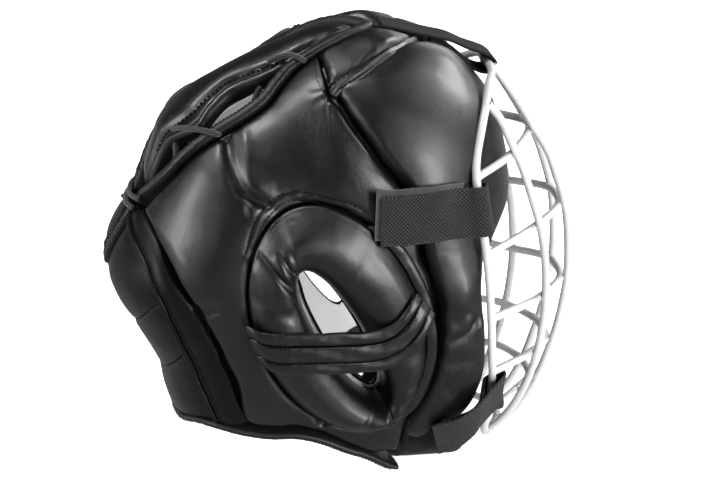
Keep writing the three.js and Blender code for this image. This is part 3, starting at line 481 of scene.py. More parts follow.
# ---- materials ----
class Paint:
    """One material's node tree, with its Principled shader."""

    def __init__(self, name, **uniform):
        self.material = bpy.data.materials.new(name)
        self.material.use_nodes = True
        self.tree = self.material.node_tree
        self.shader = self.tree.nodes["Principled BSDF"]
        for socket, value in uniform.items():
            self.shader.inputs[socket.replace("_", " ")].default_value = value

    def node(self, kind, **settings):
        node = self.tree.nodes.new("ShaderNode" + kind)
        for key, value in settings.items():
            setattr(node, key, value)
        return node

    def put(self, value, socket):
        if isinstance(value, bpy.types.NodeSocket):
            self.tree.links.new(value, socket)
        else:
            socket.default_value = value

    def place(self, output):
        return self.node("TexCoord").outputs[output]

    def math(self, operation, a, b=0.0):
        node = self.node("Math", operation=operation)
        self.put(a, node.inputs[0])
        self.put(b, node.inputs[1])
        return node.outputs[0]

    def noise(self, scale, detail=3.0, roughness=0.5):
        node = self.node("TexNoise")
        self.put(self.place("Object"), node.inputs["Vector"])
        node.inputs["Scale"].default_value = scale
        node.inputs["Detail"].default_value = detail
        node.inputs["Roughness"].default_value = roughness
        return node.outputs["Fac"]

    def cells(self, scale):
        node = self.node("TexVoronoi", feature="DISTANCE_TO_EDGE")
        self.put(self.place("Object"), node.inputs["Vector"])
        node.inputs["Scale"].default_value = scale
        return node.outputs["Distance"]

    def spread(self, value, low, high, to_low, to_high):
        node = self.node("MapRange")
        self.put(value, node.inputs["Value"])
        ends = {"From Min": low, "From Max": high, "To Min": to_low, "To Max": to_high}
        for socket, number in ends.items():
            node.inputs[socket].default_value = number
        return node.outputs["Result"]

    def blend(self, share, dark, light):
        node = self.node("Mix", data_type="RGBA")
        self.put(share, node.inputs["Factor"])
        for value, socket in ((dark, node.inputs["A"]), (light, node.inputs["B"])):
            colour = [s for s in node.inputs if s.name == socket.name and s.type == "RGBA"][0]
            self.put(value if isinstance(value, bpy.types.NodeSocket) else (*value, 1), colour)
        return [s for s in node.outputs if s.type == "RGBA"][0]

    def relief(self, *layers):
        """Bumps laid over each other: height field and its depth in metres."""
        normal = None
        for height, depth in layers:
            node = self.node("Bump")
            node.inputs["Strength"].default_value = 1.0
            node.inputs["Distance"].default_value = depth
            self.put(height, node.inputs["Height"])
            if normal is not None:
                self.put(normal, node.inputs["Normal"])
            normal = node.outputs["Normal"]
        self.put(normal, self.shader.inputs["Normal"])

    def turn(self, pitch, across=False):
        """The UV length, or the length across it, as an angle: one turn for each pitch in metres."""
        parts = self.node("SeparateXYZ")
        self.put(self.place("UV"), parts.inputs[0])
        return self.math("MULTIPLY", parts.outputs[1 if across else 0], 2 * math.pi / pitch)

    def finish(self, tone, dark, light, worn, *layers):
        """Colour from dark to light by tone, roughness from worn, and the relief layers."""
        self.put(self.blend(tone, dark, light), self.shader.inputs["Base Color"])
        self.put(worn, self.shader.inputs["Roughness"])
        if layers:
            self.relief(*layers)
        return self.material


def leatherette(name, dark, light, rough, grain=1500.0, level=0.5):
    paint = Paint(name, Specular_IOR_Level=level)
    worn = paint.spread(paint.noise(9, 5, 0.6), 0.35, 0.7, 0, 1)
    worn = paint.spread(worn, 0, 1, rough - 0.015, rough + 0.03)
    pebbles = paint.spread(paint.cells(grain), 0, 0.12, 0, 1)
    creases, soft = paint.noise(150, 4, 0.6), paint.noise(48, 2, 0.5)
    layers = (pebbles, 0.00003), (creases, 0.00012), (soft, 0.00012 * 2.2)
    return paint.finish(paint.noise(22, 4), dark, light, worn, *layers)


def woven(name, dark, light, rough, warp, weft, depth, sheen):
    paint = Paint(name, Sheen_Weight=sheen, Sheen_Roughness=0.5, Specular_IOR_Level=0.35)
    threads = [paint.math("SINE", paint.turn(warp)), paint.math("SINE", paint.turn(weft, True))]
    ribs = paint.spread(paint.math("MULTIPLY", *threads), -0.4, 0.8, 0, 1)
    fuzz = paint.noise(900, 3, 0.7)
    # Colour from the ribs relief times a random tone: painted shade, darker in the weave's hollows and
    # lighter on the raised threads.
    painted_weave_shade_and_tone = paint.math("MULTIPLY", ribs, paint.spread(paint.noise(60, 4), 0.3, 0.7, 0.6, 1.0))
    worn = paint.spread(fuzz, 0.3, 0.7, rough - 0.06, rough + 0.06)
    return paint.finish(painted_weave_shade_and_tone, dark, light, worn, (ribs, depth), (fuzz, depth * 0.5))


def coated_wire():
    paint = Paint("coated_wire", Specular_IOR_Level=0.5, Coat_Weight=0.25, Coat_Roughness=0.18)
    stain = paint.spread(paint.noise(14, 4, 0.6), 0.4, 0.75, 0, 1)
    worn = paint.spread(paint.noise(35, 3), 0.3, 0.7, 0.24, 0.36)
    layers = (paint.noise(160, 3, 0.5), 0.00012), (paint.noise(38, 2), 0.0003)
    return paint.finish(stain, (0.42, 0.42, 0.417), (0.38, 0.38, 0.375), worn, *layers)


def lining_cloth():
    paint = Paint("lining_cloth", Sheen_Weight=0.2, Sheen_Roughness=0.4, Specular_IOR_Level=0.2)
    knit = paint.spread(paint.cells(1100), 0, 0.14, 0, 1)
    tone = paint.noise(24, 4, 0.6)
    worn = paint.spread(tone, 0.3, 0.7, 0.8, 0.92)
    layers = (knit, 0.00018), (paint.noise(70, 4, 0.55), 0.0007)
    return paint.finish(tone, (0.6, 0.6, 0.605), (0.7, 0.7, 0.705), worn, *layers)


def loop_fuzz():
    paint = Paint("loop_fuzz", Sheen_Weight=0.25, Sheen_Roughness=0.6, Specular_IOR_Level=0.15)
    hair, clumps = paint.noise(1300, 4, 0.75), paint.noise(260, 4, 0.65)
    # Colour from the same hair and clump relief as the bump: painted shade, darker between the loops and
    # lighter on the raised clumps.
    painted_fuzz_shade = [paint.spread(hair, 0.35, 0.7, 0, 1), paint.spread(clumps, 0.35, 0.7, 0.3, 1)]
    worn = paint.spread(clumps, 0.3, 0.7, 0.88, 0.98)
    colours = (0.008, 0.008, 0.009), (0.055, 0.055, 0.058)
    return paint.finish(paint.math("MULTIPLY", *painted_fuzz_shade), *colours, worn, (hair, 0.0004), (clumps, 0.0005))


def braid(name, dark, light):
    paint = Paint(name, Sheen_Weight=0.2, Sheen_Roughness=0.5, Specular_IOR_Level=0.3)
    u, v = paint.turn(0.0036), paint.turn(0.0025, True)
    one, two = (paint.math("SINE", paint.math(way, u, v)) for way in ("ADD", "SUBTRACT"))
    strands = paint.spread(paint.math("MULTIPLY", one, two), -1, 1, 0, 1)
    fuzz = paint.noise(1100, 3, 0.7)
    worn = paint.spread(fuzz, 0.3, 0.7, 0.72, 0.88)
    # The colour is the strands relief itself: painted shade, darker between the strands and lighter on
    # their crowns.
    return paint.finish(strands, dark, light, worn, (strands, 0.0003), (fuzz, 0.00012))


def sewing_thread():
    paint = Paint("sewing_thread", Specular_IOR_Level=0.05)
    twist = paint.noise(1600, 3, 0.6)
    worn = paint.spread(twist, 0.3, 0.7, 0.8, 0.95)
    # The colour follows the twist relief: painted shade, darker in its low points.
    return paint.finish(twist, (0.001, 0.001, 0.0011), (0.006, 0.006, 0.0065), worn, (twist, 0.0001))


BLACK = (0.001, 0.001, 0.0011)
LEATHER = leatherette("leatherette", BLACK, (0.0024, 0.0024, 0.0026), 0.29)
NAPE_LEATHER = leatherette("nape_leatherette", BLACK, (0.002, 0.002, 0.0022), 0.38, level=0.16)
RING_LEATHER = leatherette("ring_leatherette", BLACK, (0.0026, 0.0026, 0.0028), 0.28, 1700)
# Woven tapes: dark and light, roughness, pitch of warp and weft, depth of the weave, sheen.
TAPE = woven(
    "binding_tape", (0.0012, 0.0012, 0.0013), (0.006, 0.006, 0.0065), 0.42, 0.0011, 0.0022, 0.00012, 0.02,
)
WEBBING = woven(
    "webbing", (0.0015, 0.0015, 0.0016), (0.026, 0.026, 0.027), 0.9, 0.0024, 0.0024, 0.0009, 0.04,
)
DARK_WEBBING = woven("dark_webbing", BLACK, (0.006, 0.006, 0.0065), 0.95, 0.0024, 0.0024, 0.0003, 0.0)
LINING = lining_cloth()
FUZZ = loop_fuzz()
LACE = braid("lace_braid", (0.002, 0.002, 0.0022), (0.012, 0.012, 0.013))
THREAD = sewing_thread()
WIRE = coated_wire()

SIDES = (("right", -1), ("left", 1))


# ---- padded walls ----
def mirrored_rows(rows, lat_columns=(1,)):
    """The right half as written, then the left half back down."""
    right = np.array(rows, float)
    left = right[:-1][::-1].copy()
    right[:, lat_columns] *= -1
    return np.concatenate([right, left])


def column_shares(columns, lean=0.65):
    """Shares across a pad, closer together at its edges."""
    s = np.linspace(0, 1, columns)
    return s + lean * (0.5 - 0.5 * np.cos(math.pi * s) - s)


def lay(rows, side=1, count=60):
    """Smooth line over the form through angle and lat pairs."""
    rows = np.array(rows, float)
    rows[:, 1] *= side
    fine = spread(rows, 12)
    return even(form_point(fine[:, 0], fine[:, 1]), count)


def pucker(p, centre, radius, depth, count, phase=0.0):
    """Small pleats that radiate from a point of the form."""
    centre = np.asarray(centre, float)
    n = form_normal(centre)
    u = unit(np.cross(n, (0.0, 0.3, 1.0)))
    v = np.cross(n, u)
    d = p - centre
    r = np.linalg.norm(d, axis=-1)
    turn = np.arctan2(d @ v, d @ u)
    wave = np.cos(count * turn + phase + 0.6 * np.sin(3 * turn))
    return depth * wave * np.exp(-((r / radius) ** 2)) * smoothstep(r, 0.5, 4)


def padded_wall(name, base, wall, rise, relief, edges, node, wrap=False, inner_round=None):
    """A stuffed wall over a grid of form points. edges gives (radius, drop) at its four sides."""
    n = form_normal(base)
    lengths = edge_lengths(base, wrap)
    drops = [roll(d, *edge) for d, edge in zip(lengths, edges)]
    deepest = max(edge[1] for edge in edges)
    drop = np.minimum(sum(drops), deepest)
    nearest = np.minimum.reduce(lengths)
    height = rise - drop + relief(base, nearest, lengths)
    outer = base + n * height[..., None]
    rounding = roll(lengths[0], *inner_round) if inner_round else 0 * drop
    inner = base - n * (wall - rounding)[..., None]
    return slab(name, outer, inner, LEATHER, node, wrap=wrap)


BROW_ROWS = [  # face edge angle and lat, then back edge angle and lat
    (-66.4, 51.4, -68.6, 56.8), (-61.4, 48.4, -58.5, 60), (-50, 46.4, -45.5, 63.9),
    (-38.9, 48.8, -32.6, 66.9), (-31.3, 52, -19.8, 68.4), (-23.8, 54, -8.7, 69),
    (-16.2, 54.3, 2.2, 67.4), (-9.8, 52.5, 12.9, 66.8), (-3, 47.9, 32.8, 67.9), (0.5, 41, 51, 65.2),
    (3, 35.5, 65, 61.5), (4.8, 29.5, 77.5, 52.5), (6, 23, 86.6, 38.8), (7, 15.5, 77.5, 32.8),
    (7.7, 8, 68, 18), (8, 0, 59, 0),
]
rib_knot = {sign: form_point(86.4, sign * 39.4) for _, sign in SIDES}


def two_edge_grid(rows, per_span, columns, corners):
    """Form points between two edges of a pad: angle and lat of one, then of the other."""
    first = spread(rows[:, :2], per_span)
    second = spread(rows[:, 2:], per_span, corners)
    t = column_shares(columns)[None, :, None]
    flat = first[:, None] * (1 - t) + second[:, None] * t
    return form_point(flat[..., 0], flat[..., 1])


def inset(base, first=0.35, last=0.35):
    """The same grid pulled in from its first and last column."""
    length = np.linalg.norm(np.diff(base, axis=1), axis=-1).sum(1)[:, None, None]
    s = np.linspace(0, 1, base.shape[1])[None, :, None]
    shift_first, shift_last = unit(base[:, 1:2] - base[:, :1]), unit(base[:, -2:-1] - base[:, -1:])
    near_first = np.clip(1 - s * length / 8, 0, 1)
    near_last = np.clip(1 - (1 - s) * length / 8, 0, 1)
    return base + shift_first * first * near_first + shift_last * last * near_last


def stuffing(nearest):
    """The foam stands highest well away from the seams."""
    return 1.4 - roll(nearest, 32, 3.6)


def strap_valley(p):
    """The top pads swell on both sides of the strap that pulls down along the middle."""
    angle, _ = polar(p[..., 0], p[..., 2])
    beside = smoothstep(np.abs(p[..., 1]), 10, 22) * (1 - smoothstep(np.abs(p[..., 1]), 30, 48))
    return 3.4 * beside * smoothstep(angle, 42, 54) * (1 - smoothstep(angle, 72, 82))


CHEEK_LIP = [(-22, 57.5), (-30, 60.5), (-35, 63.5), (-43, 67.5)]
CHEEK_ROLL = [(-27, 66.5), (-17, 62.5), (-3.5, 56)]
CHEEK_SOFT = [(-36, 55), (-41, 60.5), (-46.5, 64.5)]
CHEEK_DIP = [(-47, 57), (-51, 59)]


def brow_relief(p, nearest, lengths):
    height = 0.45 * waves(p, 46, 3) + 0.13 * waves(p, 13, 4) + strap_valley(p) + stuffing(nearest)
    height = height + tucks(p, lengths[1], 5, 0.34, 6, 5)
    height = height + tucks(p, lengths[0], 6, 0.22, 5, 7)
    for _, sign in SIDES:
        height = height + pucker(p, rib_knot[sign], 9, 0.7, 9)
        height = height + fold(p, lay(CHEEK_LIP, sign), 2.0, 2.0, (0.15, 0.2), 1.4, (0, 0, 1))
        height = height - fold(p, lay(CHEEK_ROLL, sign), 1.8, 8, (0.3, 0.5))
        height = height + fold(p, lay(CHEEK_SOFT, sign), 1.1, 2.4, (0.2, 0.3), 0.5)
        height = height + fold(p, lay(CHEEK_DIP, sign), 1.4, 7, (0.4, 0.4))
    return height


brow_rows = mirrored_rows(BROW_ROWS, [1, 3])
brow_base = inset(two_edge_grid(brow_rows, 8, 60, (12, 18)))
padded_wall(
    "brow_pad_cover", brow_base, PAD_WALL, 1.5, brow_relief,
    ((9, 4.2), (7, 3.6), (5, 2.6), (5, 2.6)), "brow_pad", inner_round=(10, 6),
)

TOP_FRONT_ROWS = [
    (87.4, 37.5, 89.2, 16.2), (82.6, 35.3, 86, 14.3), (77.6, 32, 82, 12.2), (68.5, 17.6, 74.8, 6.6),
    (60, 0, 70.2, 0),
]


def top_front_relief(p, nearest, lengths):
    height = 0.3 * waves(p, 38, 13) + 0.12 * waves(p, 12, 14) + tucks(p, nearest, 15, 0.36, 6, 4.5)
    height = height + strap_valley(p)
    for _, sign in SIDES:
        height = height + pucker(p, rib_knot[sign], 9, 0.6, 8, 1.0)
    return height


top_rows = mirrored_rows(TOP_FRONT_ROWS, [1, 3])
top_base = inset(two_edge_grid(top_rows, 22, 44, ()))
padded_wall(
    "top_front_cover", top_base, TOP_PAD_WALL, 1.0, top_front_relief,
    ((6, 3), (6, 3), (6, 3), (6, 3)), "top_front_pad",
)

# ---- ear openings ----
# Ellipses in side view: centre, half axes and lean of the long axis from upright.
RING_OUTLINE = (-15, 108, 76, 50, 21)
EAR_HOLE = (-12.5, 95.9, 51.2, 13.1, 28.5)


def ellipse_point(ellipse, turn, growth=0.0):
    x, z, long, short, lean = ellipse
    u, v = (long + growth) * np.cos(turn), (short + growth) * np.sin(turn)
    s, c = math.sin(math.radians(lean)), math.cos(math.radians(lean))
    return x - u * s + v * c, z + u * c + v * s


def side_between(inner, outer, across, side):
    """Form points seen from the side, across from 0 on the inner line to 1 on the outer one."""
    x, z = (near[:, None] + (far - near)[:, None] * across for near, far in zip(inner, outer))
    return side_point(x, z, side)


def turn_towards(ellipse, x, z):
    cx, cz, long, short, lean = ellipse
    s, c = math.sin(math.radians(lean)), math.cos(math.radians(lean))
    dx, dz = x - cx, z - cz
    return np.arctan2((dx * c + dz * s) / short, (dz * c - dx * s) / long)


def from_hole_grid(outline, ellipse, growth, shares, side):
    """Form points on straight lines of the chart, from the ellipse out to the outline."""
    edge = form_point(outline[:, 0], outline[:, 1])
    turn = turn_towards(ellipse, edge[:, 0], edge[:, 2])
    near = chart_of(*ellipse_point(ellipse, turn, growth))
    far = chart(outline[:, 0], outline[:, 1])
    q = near[:, None] + (far - near)[:, None] * shares[None, :, None]
    return chart_point(q, side)


SIDE_OUTLINE = np.array([
    (166.8, 13.4), (158.4, 19.9), (151.6, 25), (145, 28.6), (137, 31.6), (127, 33.4), (117, 33.5),
    (108.3, 31), (101.6, 24.8), (96, 19.3), (89.7, 15.8), (89.2, 25), (88.2, 39), (79, 53.2),
    (65.5, 62.6), (51, 66.2), (33.2, 69.1), (13.2, 68), (-3.2, 69.5), (-20, 69.5), (-32.8, 68),
    (-44, 65.2), (-55.5, 61.6), (-65.8, 57.4), (-71.4, 51.2), (-78, 53.2), (-85.5, 57.3), (-93, 59.9),
    (-101, 59.3), (-108, 55.6), (-116.2, 50.6), (-125.5, 54.6), (-139, 52.2), (-151.4, 53.2),
    (-162.6, 53.4), (-171.5, 50.6), (-180.2, 42.8), (-189.2, 26), (-193.2, 13.4),
])
DART = [
    (128.2, 35), (128.6, 38.5), (131, 44), (134, 50), (136.5, 56), (136, 61.5), (132, 66.5),
    (126, 69.6),
]
RING_SEAM = [
    (171.8, 70), (152.1, 69.6), (136.5, 69.1), (122.3, 69), (105.8, 72.2), (86.7, 76.5), (72.7, 78),
    (55.9, 79.1),
]
HEM_PINCH = [(-93.1, 64.9), (-91.5, 62.1)]
REAR_HOLLOW = [(-166.8, 59), (-156, 58.8)]


def side_relief(side):
    def relief(p, nearest, lengths):
        height = 0.7 * waves(p, 60, 21) + 0.2 * waves(p, 17, 22)
        height = height - roll(lengths[0], 34, 3.5) + stuffing(lengths[1])
        height = height + tucks(p, lengths[1], 23, 0.38, 6, 5) + tucks(p, lengths[0], 24, 0.2, 4, 6)
        height = height + fold(p, lay(DART, side), 3.4, 2.8, (0.03, 0.3), 2.0, (1, 0, 0))
        for away in (0.0, 5.0):
            d, share = near_line(p, lay(RING_SEAM, side))
            groove = np.exp(-(((d - away) / 1.3) ** 2))
            groove = groove * smoothstep(share, 0, 0.06) * smoothstep(1 - share, 0, 0.1)
            height = height - 0.5 * groove + 0.12 * waves(p, 4.5, 25) * np.exp(-((d / 5) ** 2))
        height = height + fold(p, lay(HEM_PINCH, side), 2.6, 3.2, (0.3, 0.3), 0.8)
        height = height + fold(p, lay(REAR_HOLLOW, side), 2.2, 9, (0.4, 0.4))
        height = height + pucker(p, rib_knot[side], 9, 0.7, 9, 2.0)
        return height

    return relief


def side_outline_fine():
    """The side pad's outline spread to many rows, with its corners kept."""
    rows = SIDE_OUTLINE.copy()
    corners = (10, 12, 24, 25, 30)
    return spread(rows, 9, corners)[:-1]


side_rows = side_outline_fine()
for side_name, sign in SIDES:
    grid = from_hole_grid(side_rows, RING_OUTLINE, 1.0, column_shares(80), sign)
    padded_wall(
        f"side_pad_cover_{side_name}", inset(grid, 0, 0.35), PAD_WALL, SIDE_RISE, side_relief(sign),
        ((4, 1.4), (7, 3.6), (1, 0), (1, 0)), f"side_pad_{side_name}", wrap=True,
    )

# ---- nape pad ----
# Seam angle and lat, piping angle and lat, middle angle, ease.
NAPE_ROWS = np.array([
    (168.5, 11.6, 173, 6.2, 191.6, 2.6), (170.6, 22.1, 176, 16, 194, 1.8),
    (174.4, 32.5, 178.6, 26, 197, 1.6),
    (181, 42, 183.5, 36, 200.5, 1.5), (189, 49.3, 193, 42, 206.5, 1.5),
    (197.6, 52.3, 203.5, 41, 214, 1.6),
    (208.6, 51.7, 214.6, 38.6, 221.5, 1.8), (221, 50.9, 224, 38.8, 226, 2),
    (232, 52.8, 229.5, 40, 228.6, 2),
    (244.6, 53, 237.2, 41.5, 233, 4),
])
NAPE_SEAMS = (0, 4, 6, 9)  # rows where the bulges are stitched down


def nape_point(rows, across):
    seam_angle, seam_lat, pipe_angle, pipe_lat, middle, ease = np.moveaxis(rows, -1, 0)
    share = np.abs(across)
    t = np.clip(share - 1, 0, 1)
    inner = np.clip(share, 0, 1)
    outside = share >= 1
    angle_in = middle + (pipe_angle - middle) * inner**ease
    angle = np.where(outside, pipe_angle + (seam_angle - pipe_angle) * t, angle_in)
    lat = np.where(outside, pipe_lat + (seam_lat - pipe_lat) * t, pipe_lat * inner)
    return form_point(angle, np.sign(across) * lat)


nape_fine = catmull(NAPE_ROWS, 14)
nape_at = np.linspace(0, len(NAPE_ROWS) - 1, len(nape_fine))
nape_across = np.concatenate([
    -2 + column_shares(18, 0.5)[:-1], column_shares(49, 0.6)[:-1] * 2 - 1, 1 + column_shares(18, 0.5),
])
nape_base = nape_point(nape_fine[:, None], nape_across[None])


def between_seams(at, seams):
    """How far each row is between the seams on either side of it, 0 at a seam and 1 half way."""
    out = np.zeros_like(at)
    for a, b in zip(seams, seams[1:]):
        inside = (at >= a) & (at <= b)
        out = np.where(inside, np.sin(math.pi * (at - a) / (b - a)), out)
    return out


nape_swell = between_seams(nape_at, NAPE_SEAMS)[:, None]
nape_inside = np.clip(1 - np.abs(nape_across)[None] ** 8, 0, 1) ** 0.5
nape_strip = np.clip((np.abs(nape_across)[None] - 1) * 2 - 1, -1, 1)
nape_height = (
    0.6
    + (np.abs(nape_across)[None] < 1) * (NAPE_SWELL * nape_swell**0.5 * nape_inside - 0.6)
    + (np.abs(nape_across)[None] >= 1) * 1.0 * (1 - nape_strip**2)
    + 0.35 * waves(nape_base, 34, 31)
    + 0.14 * waves(nape_base, 11, 32)
    + 0.3 * waves(nape_base, 5, 33) * np.exp(-nape_swell * 5)
    - 0.9 * np.exp(-((nape_swell * 9) ** 2)) * (np.abs(nape_across)[None] < 1)
)
nape_ends = np.minimum(nape_at, nape_at[-1] - nape_at)[:, None]
nape_outer_drop = roll((2 - np.abs(nape_across))[None] * 9 + 0 * nape_swell, 4, 1.6)
nape_outer = raised(nape_base, nape_height - nape_outer_drop - 1.5 * np.exp(-nape_ends * 6))
nape_inner = raised(nape_base, 0 * nape_height - NAPE_WALL)
slab("nape_pad_cover", nape_outer, nape_inner, NAPE_LEATHER, "nape_pad")

# ---- crown pad ----
CROWN_ROWS = [  # angle, half width in lat, how far it is sunk
    (77.5, 1.6, 3), (82, 5.2, 2.5), (88, 9, 2), (94, 11, 1.5), (99, 12.8, 1), (104, 14.5, 1),
    (109, 14.6, 1), (114, 13.2, 1), (119.5, 12.6, 1), (125, 15.2, 1), (129, 18, 1), (132.5, 20.8, 1),
    (136.5, 19.8, 1), (140.5, 15.5, 1), (146, 10, 1), (152, 7.5, 1.5), (158, 6, 2), (162, 4.8, 3.5),
    (165.5, 3, 6), (169, 1.2, 10), (173, 3.6, 14), (181, 4.6, 14.5),
]
crown_fine = catmull(CROWN_ROWS, 8)
crown_across = column_shares(56, 0.55) * 2 - 1
crown_base = form_point(crown_fine[:, :1] + 0 * crown_across[None], crown_fine[:, 1:2] * crown_across[None])
crown_near = np.minimum(*edge_lengths(crown_base)[:2])
crown_share = np.abs(crown_across)[None]
crown_taper = np.minimum(crown_fine[:, 1:2] / 11, 1)
crown_seam = np.interp(crown_fine[:, :1], (84, 90, 104, 118), (0.8, 0.72, 0.6, 0.5))
crown_span = np.maximum(crown_fine[:, 1:2] * 1.9, 1)
crown_height = (
    -crown_fine[:, 2:3]
    - roll(crown_near, 4, 3)
    + CROWN_ROLL * crown_taper * np.clip(1 - (crown_share / crown_seam) ** 2, 0, 1) ** 0.6
    - 0.9 * crown_taper * np.exp(-(((crown_share - crown_seam) * crown_span / 1.1) ** 2))
    - 0.5 * np.exp(-(((crown_near - 5.5) / 1.0) ** 2))
    + 0.4 * waves(crown_base, 40, 41)
    + 0.16 * waves(crown_base, 12, 42)
    + tucks(crown_base, np.abs(crown_near - 6.5), 43, 0.3, 3, 4)
)
crown_inner = raised(crown_base, -CROWN_WALL - crown_fine[:, 2:3] + 0 * crown_near)
slab(
    "crown_pad_cover", raised(crown_base, crown_height), crown_inner, LEATHER, "crown_pad",
)


# ---- bindings ----
def binding_section(half, proud, deep):
    right = [
        (half * 0.5, proud - 0.3), (half * 0.86, proud - 1.5), (half, proud - 3.6), (half - 0.4, -deep),
    ]
    return catmull([*[(-x, y) for x, y in right[::-1]], (0, proud), *right], 3)


def binding(name, route, half, proud, deep, count, pleat, seed):
    """Tape folded over the edge of the pads, with the small pleats of its stitching."""
    rows = mirrored_rows(route)
    line = even(catmull(form_point(rows[:, 0], rows[:, 1]), 12), count)
    _, across, out = frames_on_form(line)
    s = lengths_along(line)
    base = binding_section(half, proud, deep)
    knots = np.random.default_rng(seed).uniform(0, 1, (3, 12)).T[:5]
    ends = np.clip(np.minimum(s, s[-1] - s) / 9, 0, 1) ** 0.6
    sections = []
    for i in range(count):
        wave = sum(np.sin(2 * math.pi * (s[i] / (5.2 + 4 * k[0]) + k[1])) * (0.4 + k[2]) for k in knots) / 5
        slow = math.sin(s[i] / 21 + seed) + 0.6 * math.sin(s[i] / 9.3 + 2 * seed)
        section = base.copy()
        top = np.clip((section[:, 1] - (proud - 4)) / 4, 0, 1)
        section[:, 1] += top * (pleat * wave + 0.22 * slow)
        section[:, 0] *= (1 + 0.05 * top * (slow * 0.5 + wave)) * (0.6 + 0.4 * ends[i])
        lower = section[:, 1] * (0.3 + 0.7 * ends[i])
        section[:, 1] = np.where(top > 0, section[:, 1] - 1.2 * (1 - ends[i]), lower)
        sections.append(section)
    sweep(f"{name}_tape", line, across, out, np.array(sections), TAPE, name, sharp=70)
    return line


RIM_ROUTE = [
    (168.8, 3.4), (165.6, 6.2), (160.8, 12.2), (156, 17.4), (150.4, 22.2), (144, 25.8), (136, 28.8),
    (126.5, 30.2), (117, 30.4), (109.5, 28), (103.5, 22), (98, 16.5), (88.5, 12.7), (82, 9),
    (76.5, 4.6), (73.2, 0),
]
NAPE_BINDING_ROUTE = [(171, 2.9), (176, 2.7), (181, 2.3), (185.5, 1.8), (188, 0.8), (188.7, 0)]
HEM_ROUTE = [
    (-72.6, 45.6), (-75, 48.6), (-79.5, 53.6), (-84.5, 56.4), (-92.5, 59), (-100.5, 58.2),
    (-107.5, 54.3), (-115.5, 48.3), (-122, 40.5), (-125.8, 30), (-126.8, 17), (-126.5, 0),
]
rim = binding("rim_binding", RIM_ROUTE, BINDING_HALF_WIDTH, 1.6, 13, 420, 0.35, 3)
nape_tape = binding("nape_binding", NAPE_BINDING_ROUTE, BINDING_HALF_WIDTH, 2.4, 10.5, 110, 0.35, 5)
hem = binding("hem_binding", HEM_ROUTE, 2.4, 1.8, 13, 360, 0.45, 8)

# ---- ear rings ----
RING_SECTION = [  # share from the hole to the outline, height on the form
    (1, -3), (0.97, 0.4), (0.92, 3.2), (0.83, 6.6), (0.7, 9.3), (0.52, 10.4), (0.34, 9.3), (0.2, 7),
    (0.09, 3.4), (0.02, -1.5), (0, -6),
]
RING_CORNER = [(156, 76.5), (161, 78.7), (168, 80.6), (176.5, 83)]  # seam across the rear upper corner
RING_STATIONS = 260
GATHERS = [  # turn of the middle, half length, depth and how many pleats each radian
    (325, 30, 2.1, 15), (178, 27, 2.1, 15), (60, 20, 0.45, 12), (285, 22, 0.9, 11), (130, 20, 0.7, 19),
]


def ring_pleats(turn, across):
    height = np.zeros(np.broadcast(turn, across).shape)
    for k, (middle, reach, depth, count) in enumerate(GATHERS):
        away = np.mod(turn - math.radians(middle) + math.pi, 2 * math.pi) - math.pi
        window = np.clip(1 - (away / math.radians(reach)) ** 2, 0, 1) ** 0.8
        phase = count * (away + 0.05 * np.sin(9 * away + k) + 0.10 * (across - 0.5) * np.sign(away))
        valley = (0.5 + 0.5 * np.cos(phase + k)) ** 3
        profile = 0.25 + 0.75 * smoothstep(across, 0.05, 0.35) * smoothstep(1 - across, -0.02, 0.2)
        height = height - depth * window * valley * profile
        height = height + 0.35 * depth * window * (1 - valley) * profile
    return height


ring_outer = catmull(RING_SECTION, 4)
ring_inner = np.array([(0.01, -12), (0.03, -18), (0.35, -18), (0.7, -18), (1, -18), (1.0, -9)])
ring_profile = np.concatenate([ring_outer, ring_inner])
ring_turns = 2 * math.pi * np.arange(RING_STATIONS) / RING_STATIONS
for side_name, sign in SIDES:
    hole, outline = (ellipse_point(ellipse, ring_turns) for ellipse in (EAR_HOLE, RING_OUTLINE))
    across = ring_profile[None, :, 0]
    base = side_between(hole, outline, across, sign)
    on_top = smoothstep(ring_profile[None, :, 1], -1, 3.5)
    flatter = smoothstep(np.cos(ring_turns), 0.1, 0.9)[:, None] * smoothstep(across, 0.3, 0.9)
    height = ring_profile[None, :, 1] * (1 - 0.55 * flatter * on_top) + on_top * (
        ring_pleats(ring_turns[:, None], across)
        + 0.35 * waves(base, 42, 51)
        + 0.13 * waves(base, 12, 52)
        + 0.3 * waves(base, 5, 53) * np.exp(-((1 - across) / 0.1) ** 2)
        + fold(base, lay(RING_CORNER, sign), 1.9, 1.3, (0.1, 0.1), 0.8)
    )
    points = raised(base, height)
    faces = quads(len(points), points.shape[1], 0, True, True)
    flat = points.reshape(-1, 3)
    faces = outward(flat, [tuple(f) for f in faces])
    make(
        f"ear_ring_cover_{side_name}", flat, faces, RING_LEATHER,
        f"ear_ring_{side_name}", sharp=75,
    )

# Flat lip of the cover outside the front of each ring.
for side_name, sign in SIDES:
    turns = np.radians(np.linspace(48, 186, 150))
    ends = np.clip(np.minimum(turns - turns[0], turns[-1] - turns) / 0.16, 0, 1) ** 0.6
    shares = np.linspace(0, 1, 9)
    inner, outer = (ellipse_point(RING_OUTLINE, turns, growth) for growth in (-1.2, 5.4))
    base = side_between(inner, outer, shares[None] * ends[:, None], sign)
    lip = 2.3 + 0.7 * np.sin(math.pi * shares[None]) + 0.55 * waves(base, 7, 57) * shares[None]
    lip = lip - 1.2 * shares[None] ** 6
    slab(
        f"ear_ring_lip_{side_name}", raised(base, lip), raised(base, 0 * lip - 1.5), RING_LEATHER,
        sharp=50,
    )

